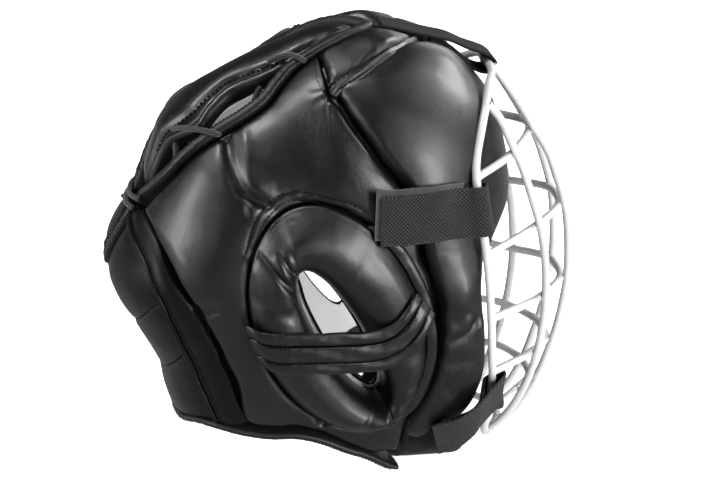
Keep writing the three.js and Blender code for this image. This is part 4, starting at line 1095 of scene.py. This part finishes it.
# ---- ear straps ----
EAR_STRAP_ROWS = np.array([  # middle x and z, half width dx and dz, height on the form
    (-66.5, 97.5, -4.4, 12.4, 2.8), (-63, 98.5, -4.5, 12.8, 6.9), (-57, 96.5, -4.2, 13.2, 10.2),
    (-40, 95.8, 0, 13, 11.2), (-16, 95.2, 0, 13, 11.6), (7, 95.3, -1.4, 13, 11.2),
    (19, 101.2, -3.6, 12, 11.6), (26.2, 109, -5.4, 9.8, 11.2), (31.5, 116.5, -6, 8, 9),
    (34.6, 119.9, -6, 7.2, 5.6),
])
EAR_STRAP_RIBS = [  # share of the half width, height
    (-1, 0), (-1, 1.2), (-0.95, 2.3), (-0.75, 3), (-0.52, 2.8), (-0.46, 1.6), (-0.43, 0.2), (-0.4, 1.6),
    (-0.33, 3.2), (0, 3.5), (0.3, 3.2), (0.37, 1.6), (0.4, 0.2), (0.43, 1.6), (0.5, 2.8), (0.75, 3),
    (0.95, 2.3), (1, 1.2), (1, 0),
]
strap_fine = even(catmull(EAR_STRAP_ROWS, 16), 130)
ribs = catmull(EAR_STRAP_RIBS, 5)
ribs = np.concatenate([ribs, np.stack([np.linspace(0.9, -0.9, 9), np.zeros(9)], -1)])
ear_strap_lines = {
    sign: raised(side_point(strap_fine[:, 0], strap_fine[:, 1], sign), strap_fine[:, 4])
    for _, sign in SIDES
}
for side_name, sign in SIDES:
    middle = ear_strap_lines[sign]
    half = np.hypot(strap_fine[:, 2], strap_fine[:, 3])
    out = unit(np.array([0, sign, 0]) + form_normal(middle))
    across = unit(np.stack([strap_fine[:, 2], 0 * half, strap_fine[:, 3]], -1))
    across = unit(across - out * (across * out).sum(-1, keepdims=True))
    s = np.linspace(0, 1, len(middle))
    sections = []
    for i in range(len(middle)):
        section = ribs.copy()
        ridge = np.clip(section[:, 1] / 3, 0, 1)
        pinch = 0.35 * math.sin(38 * s[i]) + 0.2 * math.sin(91 * s[i] + 1)
        section[:, 1] += ridge * (pinch * 0.35 + 0.22 * np.sin(9 * section[:, 0] + 23 * s[i]))
        section[:, 0] *= half[i] * (1 + 0.012 * math.sin(31 * s[i]))
        sections.append(section)
    sweep(
        f"ear_strap_cover_{side_name}", middle, across, out, np.array(sections),
        RING_LEATHER,
        f"ear_strap_{side_name}", sharp=75,
    )

# ---- lining ----
LINING_OUTLINE = np.array([
    (165, 18.5), (152, 25.2), (137, 32.5), (122, 34.4), (108.3, 32), (98, 21.8), (88, 15.8),
    (78, 8.5), (68, 1), (52, 1), (37, 1), (23, 1), (10, 1), (8.5, 14), (7, 27), (2.5, 40),
    (-8, 51.5), (-21, 56), (-35, 54.5), (-49, 54.6), (-61, 59), (-71, 60), (-79, 57.5), (-91, 64),
    (-103, 63), (-115, 55), (-130, 54.5), (-148, 53.5), (-165, 54.5), (-181, 47), (-189, 33),
    (-195, 18.5),
])
LINING_GAP = 2.5
lining_rows = spread(LINING_OUTLINE, 6, (8, 12))[:-1]
for side_name, sign in SIDES:
    grid = from_hole_grid(lining_rows, EAR_HOLE, -1.5, np.linspace(0, 1, 50), sign)
    depth = PAD_WALL + LINING_GAP
    slack = 0.9 * waves(grid, 34, 61) + 0.35 * waves(grid, 11, 62)
    near = raised(grid, -depth + 0.8 * slack)
    far = raised(grid, -depth - LINING_WALL + 0.8 * slack)
    cloth = slab(f"lining_cloth_{side_name}", near, far, LINING, f"lining_{side_name}", wrap=True)
    edge_turn = 2 * math.pi * np.arange(160) / 160
    edge_x, edge_z = ellipse_point(EAR_HOLE, edge_turn, -1.7)
    edge_line = raised(side_point(edge_x, edge_z, sign), np.full(160, -depth + 0.3))
    _, edge_across, edge_out = frames_on_form(edge_line, closed=True)
    sweep(
        f"lining_edge_{side_name}", edge_line, edge_across, edge_out, circle(0.75, 8), THREAD,
        closed=True, sharp=80,
    )

# ---- chin flap ----
CHIN_ROWS = [  # y, z, back and front edge, from the right cheek to the middle
    (79, 35, 26, 51), (77.3, 26, 25, 60), (74, 17, 25, 61.5), (68, 8.5, 26, 65), (59, 2.5, 22, 61),
    (47, 0, 15, 57), (22, 0, 11, 55),
]
CHIN_WALL = 8.0
chin_right = np.array(CHIN_ROWS) * (-1, 1, 1, 1)
chin_path = np.concatenate([chin_right, np.array(CHIN_ROWS)[::-1]])
chin_fine = even(catmull(chin_path, 20), 200)
chin_fine[:, 1] = np.maximum(chin_fine[:, 1], 0)
chin_shares = column_shares(34, 0.6)
chin_slope = np.gradient(chin_fine[:, :2], axis=0)
chin_out = unit(np.stack([0 * chin_slope[:, 0], chin_slope[:, 1], -chin_slope[:, 0]], -1))
chin_grid = np.stack([
    chin_fine[:, 2:3] + (chin_fine[:, 3:4] - chin_fine[:, 2:3]) * chin_shares[None],
    chin_fine[:, :1] + 0 * chin_shares[None],
    chin_fine[:, 1:2] + 0 * chin_shares[None],
], -1)
chin_first, chin_last, chin_top, chin_end = edge_lengths(chin_grid)
chin_near = np.minimum(chin_first, chin_last)
chin_round = roll(chin_near, 4.5, 2.6) + roll(np.minimum(chin_top, chin_end), 5, 2)
chin_clear = smoothstep(chin_grid[..., 2], 1, 12)  # 0 where the flap lies on the ground
chin_rumple = 0.5 * waves(chin_grid, 22, 71) + 0.25 * waves(chin_grid, 8, 72) - 0.3
chin_swell = -chin_round + chin_clear * chin_rumple
chin_swell = chin_swell - 0.6 * np.exp(-(((chin_near - 5.6) / 1.0) ** 2))
slab(
    "chin_flap_cover", chin_grid + chin_out[:, None] * chin_swell[..., None],
    chin_grid - chin_out[:, None] * (CHIN_WALL - chin_round * 0.8)[..., None],
    NAPE_LEATHER, "chin_flap",
)

# ---- face grille ----
# Middle lines of the wires on the left: x, y, z.
FRAME_WIRE = [
    (89, 0, 238.5), (90, 13, 238.3), (89, 23, 236.5), (85.2, 33, 232.6), (80.4, 49, 224.8),
    (74.6, 62.8, 211.5), (70.4, 71.2, 198), (69.2, 78, 188), (71, 82, 170), (73.8, 83.2, 150.5),
    (77.2, 82.6, 123), (79.6, 79, 98), (82, 72, 73), (83.7, 66, 57.7), (84.6, 58, 40),
    (84.4, 48, 20), (85, 40, 8), (89, 31, 3.4), (97, 17, 3), (101, 0, 3),
]
OUTER_WIRE = [
    (81.6, 50, 225.2), (89.1, 49.5, 215.3), (96, 49, 200.2), (103.5, 49, 183.4),
    (109.5, 48.5, 165.5), (115.5, 48, 145.5), (119.5, 47.7, 122), (120.5, 47, 95), (119, 46, 77),
    (116, 45, 59), (111, 43, 41), (104, 39, 24), (96, 33, 10), (90.8, 30, 4.4),
]
INNER_WIRE = [
    (91, 16, 239), (104.4, 16, 220), (117.5, 16, 198.5), (126.3, 17, 183.5), (133, 18, 165),
    (138.4, 19.4, 145), (140.4, 20, 125), (140.5, 20, 101), (138.3, 20, 84), (134.6, 19.5, 66),
    (129, 19, 48), (122.5, 18, 31), (113.5, 17, 15.5), (103, 16, 5.5), (98.6, 15.5, 3.6),
]
BARS = {  # where each bar leaves the frame, passes the uprights and reaches the middle plane
    "forehead": [(69.2, 77.8, 188.5), (99.3, 49, 193.5), (118, 16, 197), (121.5, 0, 198.3)],
    "eyes": [(75, 83.1, 141.5), (116.2, 48, 145), (138, 19.5, 148.5), (141, 0, 149.5)],
    "nose": [(79.5, 79.3, 99), (120.6, 47, 97), (140.4, 20, 99.5), (143, 0, 100)],
    "mouth": [(83.6, 66, 58.3), (116, 45, 58.5), (132, 19.2, 57.5), (134.5, 0, 57.5)],
    "chin": [(84.6, 51, 25.2), (107.4, 41, 31.5), (121.8, 18, 31), (124, 0, 31)],
}
BAR_DEPTH = WIRE_DIAMETER - WELD_SINK


def inside(p):
    away = unit(np.array([p[0] - 40, p[1] * 0.6, (p[2] - 120) * 0.45]))
    return np.array(p) - away * BAR_DEPTH


def mirrored(points):
    return np.array(points) * (1, -1, 1)


frame_wire = np.concatenate([mirrored(FRAME_WIRE), np.array(FRAME_WIRE)[-2:0:-1]])
wire_lines = [catmull(frame_wire, 9, closed=True)]
for half in (OUTER_WIRE, INNER_WIRE):
    wire_lines += [catmull(mirrored(half), 9), catmull(half, 9)]
bar_lines = []
for frame_end, outer_pass, inner_pass, middle in BARS.values():
    half = np.array([frame_end, inside(outer_pass), inside(inner_pass), inside(middle)])
    bar_lines.append(catmull(np.concatenate([mirrored(half), half[-2::-1]]), 14))

WIRE_SIDES = 18
grille_points, grille_faces = [], []


def add_to_grille(points, faces):
    start = sum(len(p) for p in grille_points)
    grille_faces.extend(tuple(int(i) + start for i in f) for f in outward(points, faces))
    grille_points.append(points)


for k, line in enumerate(wire_lines + bar_lines):
    closed = k == 0
    line = even(line, int(1 + lengths_along(line)[-1] / 3.0), closed)
    if closed:
        along = unit(np.roll(line, -1, 0) - np.roll(line, 1, 0))
        a = unit(np.cross(along, line - line.mean(0)))
        b = np.cross(along, a)
    else:
        _, a, b = tube_frames(line)
    wobble = 1 + 0.012 * waves(line, 16, 81 + k)
    u, v = circle(1, WIRE_SIDES).T[..., None]
    ring = line[:, None] + (WIRE_DIAMETER / 2 * wobble)[:, None, None] * (a[:, None] * u + b[:, None] * v)
    add_to_grille(ring.reshape(-1, 3), tube(len(line), WIRE_SIDES, closed=closed))


def nearest_pair(one, two):
    gaps = np.linalg.norm(one[:, None] - two[None], axis=-1)
    i, j = np.unravel_index(gaps.argmin(), gaps.shape)
    return one[i], two[j], unit(np.gradient(one, axis=0))[i], unit(np.gradient(two, axis=0))[j]


def weld(p, q, along_p, along_q, size=2.5):
    """A drop of coating that fills the corner between two wires."""
    middle = (p + q) / 2
    through = q - p
    gap = np.linalg.norm(through)
    axis = unit(np.cross(along_p, along_q)) if gap < 0.5 else through / gap
    u = unit(along_p + along_q)
    v = unit(np.cross(axis, u))
    rows, columns = 9, 20
    height = np.linspace(-1, 1, rows)
    radius = size * (0.55 + 0.75 * height**2) ** 0.5
    turn = 2 * math.pi * np.arange(columns) / columns
    ring = (
        middle
        + (height * max(gap, 3.0) * 0.42)[:, None, None] * axis
        + radius[:, None, None] * (np.cos(turn)[None, :, None] * u + np.sin(turn)[None, :, None] * v)
    )
    return ring.reshape(-1, 3), tube(rows, columns)


for bar in bar_lines:
    for upright in wire_lines[1:]:
        add_to_grille(*weld(*nearest_pair(even(bar, 200), even(upright, 200))))

GRILLE_NODES = [f"grille_bar_{name}" for name in BARS]
for side_name, _ in SIDES:
    GRILLE_NODES += [f"grille_{wire}_{side_name}" for wire in ("frame", "upright_outer", "upright_inner")]
make(
    "face_grille", np.concatenate(grille_points), grille_faces, WIRE, GRILLE_NODES,
    sharp=70,
)


# ---- webbing straps ----
def ribbon(name, line, across, half, thickness, material, node, wave, seed):
    """Flat woven strap along a line, with soft edges."""
    along = unit(np.gradient(line, axis=0))
    a = unit(across - along * (across * along).sum(-1, keepdims=True))
    b = np.cross(along, a)
    t = thickness / 2
    s = np.linspace(-1, 1, 25)
    edge = np.clip((1 - np.abs(s)) * half / 0.9, 0, 1) ** 0.5
    upper = np.stack([s * half, t * (0.25 + 0.75 * edge)], -1)
    lower = np.stack([s[::-1] * half, -t * (0.25 + 0.75 * edge)], -1)
    section = np.concatenate([upper, lower])
    sections = np.repeat(section[None], len(line), 0)
    cup = wave * waves(line, 24, seed)
    sections[..., 1] += cup[:, None] * (sections[..., 0] / half) ** 2
    sections[..., 0] *= (1 + 0.008 * waves(line, 7, seed + 1))[:, None]
    sweep(name, line, a, b, sections, material, node, sharp=70)


UPPER_LIFT = SIDE_RISE + 2 * STRAP_THICKNESS + 0.7 + 0.9
LOWER_LIFT = SIDE_RISE + STRAP_THICKNESS / 2 + 0.35 + 0.8
STRAP_UPPER = [(8.5, 171), (20, 170.8), (32, 170.5), (44, 170.3), (55, 170.1)]
STRAP_TURN = [(64, 86.6), (70.6, 87), (75.2, 85.2), (76.8, 81.4), (75.2, 77.2), (70.8, 75.8)]
STRAP_LOWER = [(61, 170), (49, 170.2), (34, 170.5), (20, 170.8)]
STRAP_LOOP = [(5.5, 174.6), (20, 174.2), (40, 173.6), (57, 172.4)]


def blended(pieces_of, counts):
    return np.concatenate([np.repeat(np.array([v], float), n, 0) for v, n in zip(pieces_of, counts)])


for side_name, sign in SIDES:
    upper = [raised(side_point(x, z, sign), UPPER_LIFT) for x, z in STRAP_UPPER]
    turn = [np.array([x, sign * y, 170.0]) for x, y in STRAP_TURN]
    lower = [raised(side_point(x, z, sign), LOWER_LIFT) for x, z in STRAP_LOWER]
    route = np.array([*upper, *turn, *lower])
    lean = blended([(-3, 0, 30), (-4, -3.4 * sign, 28), (-3, 0, 30)], (4, 8, 3))
    fine = even(catmull(np.concatenate([route, lean], 1), 12), 170)
    ribbon(
        f"side_strap_webbing_{side_name}", fine[:, :3], fine[:, 3:], 15, STRAP_THICKNESS, WEBBING,
        f"side_strap_{side_name}", 0.18, 91,
    )
    loop_route = [raised(side_point(x, z, sign), UPPER_LIFT - 1.7) for x, z in STRAP_LOOP]
    loop_line = even(catmull(loop_route, 14), 70)
    ribbon(
        f"side_strap_loop_{side_name}", loop_line, np.repeat([(-3.0, 0, 30)], 70, 0), 15.6, 1.3, FUZZ,
        None, 0.3, 93,
    )

LOWER_STRAP_ROWS = [  # middle point, then the width direction
    (45.5, 81.6, 22.5, -6, 9, 24), (53, 81.8, 24.5, -2, 8.5, 22), (61, 82.2, 27.6, 1.5, 8.5, 21),
    (71.4, 80, 34.4, 1, 10, 23), (82, 70.6, 40, 0, 12, 27), (89, 64.2, 43, -0.5, 12, 26),
    (91.6, 58.4, 43.2, -0.5, 12, 26), (88.4, 53.2, 43, -0.5, 12, 26), (81, 54.4, 41.2, 0, 12, 27),
    (77.6, 62.4, 38.4, 0, 11, 25), (75, 71.4, 36.4, 1, 10, 23), (69.8, 79, 33, 1, 10, 23),
    (62, 79.9, 28.4, 1.5, 8.5, 21), (53, 79.4, 24.7, -2, 8.5, 22),
]
for side_name, sign in SIDES:
    rows = np.array(LOWER_STRAP_ROWS) * (1, sign, 1, 1, sign, 1)
    rows[:, 3:] = unit(rows[:, 3:])
    fine = even(catmull(rows, 12), 170)
    ribbon(
        f"lower_strap_webbing_{side_name}", fine[:, :3], fine[:, 3:], 13, STRAP_THICKNESS, WEBBING,
        f"lower_strap_{side_name}", 0.15, 95,
    )

TOP_UPPER = [(70.2, 2.4), (66, 2.7), (61.5, 3.4), (57, 5.4), (52.5, 8.4)]
TOP_TURN = [
    (77, 249), (84.5, 246.2), (90.4, 243.4), (94.2, 239.2), (92.8, 234.6), (87.7, 233.2), (80, 236.2),
]
TOP_LOWER = [(48.5, 2.9), (53, 2.9), (57, 2.9)]
top_route = [
    *[raised(form_point(angle, 0), lift) for angle, lift in TOP_UPPER],
    *[np.array([x, 0, z]) for x, z in TOP_TURN],
    *[raised(form_point(angle, 0), lift) for angle, lift in TOP_LOWER],
]
top_line = even(catmull(top_route, 12), 150)
ribbon(
    "top_strap_webbing", top_line, np.repeat([(0, 1.0, 0)], 150, 0), 12, STRAP_THICKNESS, DARK_WEBBING,
    "top_strap", 0.15, 97,
)

# ---- laces ----
LACES = {  # routes over the form: angle, lat and height
    "lace_middle": [(141, 11.5, 2), (138, 17, 2.4), (135, 23.5, 2.9), (132, 29.5, 3.8), (129, 35.2, 4)],
    "lace_front": [(104, 10, 2.2), (100.5, 10.5, 3), (97, 13, 3.7), (94.5, 17.5, 3.8), (92.8, 21.5, 3.7)],
    "lace_inner_rear": [(144.35, 12.4, -4.5), (146, 15.5, -5), (147.6, 18.4, -5)],
    "lace_inner_front": [(109.3, 17.6, -4.5), (111.6, 21, -5), (114, 26.1, -5.2)],
}


def over_form(route, side):
    rows = np.array(route, float)
    tighter = 1.8 if side > 0 else 0.4  # the left laces lie a little deeper
    return raised(form_point(rows[:, 0], side * rows[:, 1]), rows[:, 2] - tighter)


def lace(name, points, node):
    line = catmull(points, 16)
    line = even(line, max(24, int(lengths_along(line)[-1] / 0.7)))
    ends = np.minimum(np.arange(len(line)), len(line) - 1 - np.arange(len(line)))
    strand = 1 + 0.035 * np.sin(np.arange(len(line)) * 1.3)
    radius = LACE_DIAMETER / 2 * strand * np.clip(0.75 + ends * 0.12, 0, 1)
    cord(name, line, radius, LACE, node, sides=16)


for side_name, sign in SIDES:
    for name, route in LACES.items():
        lace(f"{name}_cord_{side_name}", over_form(route, sign), f"{name}_{side_name}")
KNOT_TURNS = {
    "lace_knot_upper": [(166.6, 9, 1.2), (167.4, 6.2, 3.2), (168, 3.2, 4.4), (168.2, 0, 4)],
    "lace_knot_lower": [(170.2, 8.6, 1.8), (170.6, 6, 3.3), (170.8, 3, 4.4), (170.8, 0, 4)],
}
for name, route in KNOT_TURNS.items():
    right, left = over_form(route, -1), over_form(route, 1)
    lace(f"{name}_cord", np.concatenate([right, left[:-1][::-1]]), name)

# ---- seams, piping and stitches ----
covers = {}


def surface(*names):
    if names not in covers:
        covers[names] = tree_of(*names)
    return covers[names]


def seated_runs(name, line):
    return seat(line, surface(*([name] if isinstance(name, str) else name)))


def beside(line, distance):
    """A line over the form moved across itself."""
    _, across, _ = frames_on_form(line)
    return line + across * distance


# Raised rib between the brow and the top front pad, stitched down on both sides.
RIB = [
    (86.9, 40.2), (84.6, 37.7), (80.5, 35.2), (77.5, 32.4), (73, 25.5), (68.2, 17.8), (63.5, 9),
    (59.5, 0),
]
rib_rows = mirrored_rows(RIB)
RIB_SECTION = [  # across, height
    (-4.4, -5), (-4.2, -0.6), (-3.2, 0.9), (-1.8, 1.3), (0, 2.3), (1.8, 1.3), (3.2, 0.9), (4.2, -0.6),
    (4.4, -5),
]
RIB_STATIONS = 300
rib_line = even(catmull(form_point(rib_rows[:, 0], rib_rows[:, 1]), 14), RIB_STATIONS)
_, rib_across, rib_out = frames_on_form(rib_line)
station = np.arange(RIB_STATIONS)
rib_tips = np.clip(np.minimum(station, RIB_STATIONS - 1 - station) / 14, 0, 1) ** 0.5
rib_base = catmull(RIB_SECTION, 3)
rib_wave = 0.22 * waves(rib_line, 7, 101) + 0.2 * waves(rib_line, 19, 102)
rib_sections = np.repeat(rib_base[None], RIB_STATIONS, 0)
rib_lift = rib_wave[:, None] - 1.6 * (1 - rib_tips[:, None])
rib_sections[..., 1] += rib_lift * np.clip(rib_base[None, :, 1] + 1, 0, 1)
rib_sections[..., 0] *= (0.55 + 0.45 * rib_tips[:, None]) * (1 + 0.05 * rib_wave[:, None])
sweep("forehead_rib", rib_line, rib_across, rib_out, rib_sections, LEATHER, sharp=75)

runs = [seated_runs("forehead_rib", beside(rib_line[8:-8], away)) for away in (-2.5, 2.5)]
for side_name, sign in SIDES:
    side_cover = f"side_pad_cover_{side_name}"
    ring_seam = lay(RING_SEAM, sign, 160)
    runs.append(seated_runs(side_cover, ring_seam))
    runs.append(seated_runs(side_cover, beside(ring_seam, 5.0 * sign)))
    seam = lay([(89.6, 17), (89.2, 25), (88.8, 32), (88.2, 38)], sign, 50)
    runs.append(seated_runs(side_cover, beside(seam, 3.0 * sign)))
    runs.append(seated_runs((side_cover, "top_front_cover"), beside(seam, -3.0 * sign)))
grooved = slice(12, 120)  # the rows of the crown pad that carry its stitched grooves
for _, sign in SIDES:
    groove_lat = sign * crown_fine[grooved, 1] * crown_seam[grooved, 0]
    groove = form_point(crown_fine[grooved, 0], groove_lat)
    runs.append(seated_runs("crown_pad_cover", even(groove, 160)))
    runs.append(seated_runs("crown_pad_cover", even(beside(groove, 2.2 * sign), 160)))
stitches("cover_stitches", runs, THREAD)

runs = []
for side_name, sign in SIDES:
    for share in (-0.52, -0.34, 0.31, 0.49):
        across = np.stack([strap_fine[:, 2], 0 * strap_fine[:, 2], strap_fine[:, 3]], -1)
        line = ear_strap_lines[sign] + share * across
        runs.append(seat(line[6:-6], surface(f"ear_strap_cover_{side_name}"), 0.0, 12.0))
stitches("ear_strap_stitches", runs, THREAD, 2.4, 1.7, 0.28)

runs = []
for line, name, away in ((rim, "rim", 2.7), (hem, "hem", 2.2), (nape_tape, "nape", 2.6)):
    for edge in (-away, away):
        runs.append(seated_runs(f"{name}_binding_tape", beside(line[3:-3], edge)))
stitches("binding_stitches", runs, THREAD, 2.6, 1.8, 0.3)

# Piping down each side of the nape pad, and the stitches beside it.
runs = []
for side_name, sign in SIDES:
    pipe = even(nape_point(nape_fine, np.full(len(nape_fine), sign * 1.0)), 240)
    seated, _ = seat(pipe, surface("nape_pad_cover"), 0.7)
    padded_out = np.pad(seated, ((4, 4), (0, 0)), "edge")
    smooth = np.array([np.convolve(column, np.ones(9) / 9, "valid") for column in padded_out.T]).T
    cord(f"nape_piping_{side_name}", smooth, 1.5, NAPE_LEATHER, None, 12)
    strip = even(nape_point(nape_fine, np.full(len(nape_fine), sign * 1.28)), 240)
    runs.append(seated_runs("nape_pad_cover", strip))
for row in (4, 6):
    across_line = nape_point(np.repeat(NAPE_ROWS[row][None], 90, 0), np.linspace(-0.96, 0.96, 90))
    runs.append(seated_runs("nape_pad_cover", even(across_line, 120)))
stitches("nape_stitches", runs, THREAD)

# ---- camera, lights and floor ----
camera = bpy.data.objects.new("camera", bpy.data.cameras.new("camera"))
camera.data.lens = 120
camera.data.sensor_width = 36
camera.data.clip_end = 20
bpy.context.scene.collection.objects.link(camera)
camera.location = Vector((-208.5 + SHIFT_X, -1392.2, 638.5)) * MM
target = Vector((12 + SHIFT_X, 0, 125.5)) * MM
camera.rotation_euler = (target - camera.location).to_track_quat("-Z", "Y").to_euler()
bpy.context.scene.camera = camera


def soft_light(name, place, aim, size, power):
    light = bpy.data.lights.new(name, "AREA")
    light.shape = "RECTANGLE"
    light.size, light.size_y = size
    light.energy = power
    lamp = bpy.data.objects.new(name, light)
    lamp.location = place
    lamp.rotation_euler = (Vector(aim) - Vector(place)).to_track_quat("-Z", "Y").to_euler()
    bpy.context.scene.collection.objects.link(lamp)


# name, place, height aimed at, size, power
for name, place, aim_height, size, power in (
    ("right_light", (0.95, -1.2, 0.45), 0.15, (0.7, 0.9), 38),
    ("left_light", (-1.45, -0.25, 0.55), 0.15, (0.45, 0.9), 20),
    ("back_light", (0.95, 1.25, 0.75), 0.15, (0.9, 0.45), 6),
    ("overhead_light", (-0.6, 0.0, 1.55), 0.1, (0.5, 0.4), 20),
    ("front_light", (1.3, 0.35, 1.1), 0.15, (0.5, 0.5), 22),
):
    soft_light(name, place, (0, 0, aim_height), size, power)

# The studio is brighter from below than from above.
world = bpy.data.worlds.new("studio")
world.use_nodes = True
sky = world.node_tree.nodes["Background"]
sky.inputs["Color"].default_value = (1, 1, 1, 1)
direction = world.node_tree.nodes.new("ShaderNodeTexCoord")
height_of = world.node_tree.nodes.new("ShaderNodeSeparateXYZ")
strength = world.node_tree.nodes.new("ShaderNodeMapRange")
for socket, value in (("From Min", -0.12), ("From Max", 0.12), ("To Min", 0.5), ("To Max", 0.05)):
    strength.inputs[socket].default_value = value
world.node_tree.links.new(direction.outputs["Generated"], height_of.inputs[0])
world.node_tree.links.new(height_of.outputs["Z"], strength.inputs["Value"])
world.node_tree.links.new(strength.outputs["Result"], sky.inputs["Strength"])
bpy.context.scene.world = world
bpy.context.scene.view_settings.view_transform = "Standard"

floor_paint = Paint(
    "studio_floor", Specular_IOR_Level=0.1, Emission_Color=(1, 1, 1, 1), Emission_Strength=0.8
)
floor_tone = floor_paint.noise(3, 2)
floor_worn = floor_paint.spread(floor_tone, 0.3, 0.7, 0.9, 0.95)
floor_paint.finish(floor_tone, (0.93, 0.93, 0.93), (0.95, 0.95, 0.95), floor_worn)
floor_mesh = bpy.data.meshes.new("studio_floor")
floor_mesh.from_pydata([(-9, -9, 0), (9, -9, 0), (9, 9, 0), (-9, 9, 0)], [], [(0, 1, 2, 3)])
floor_mesh.materials.append(floor_paint.material)
floor = bpy.data.objects.new("studio_floor", floor_mesh)
floor.location.z = -0.0004
floor.visible_glossy = False
bpy.context.scene.collection.objects.link(floor)
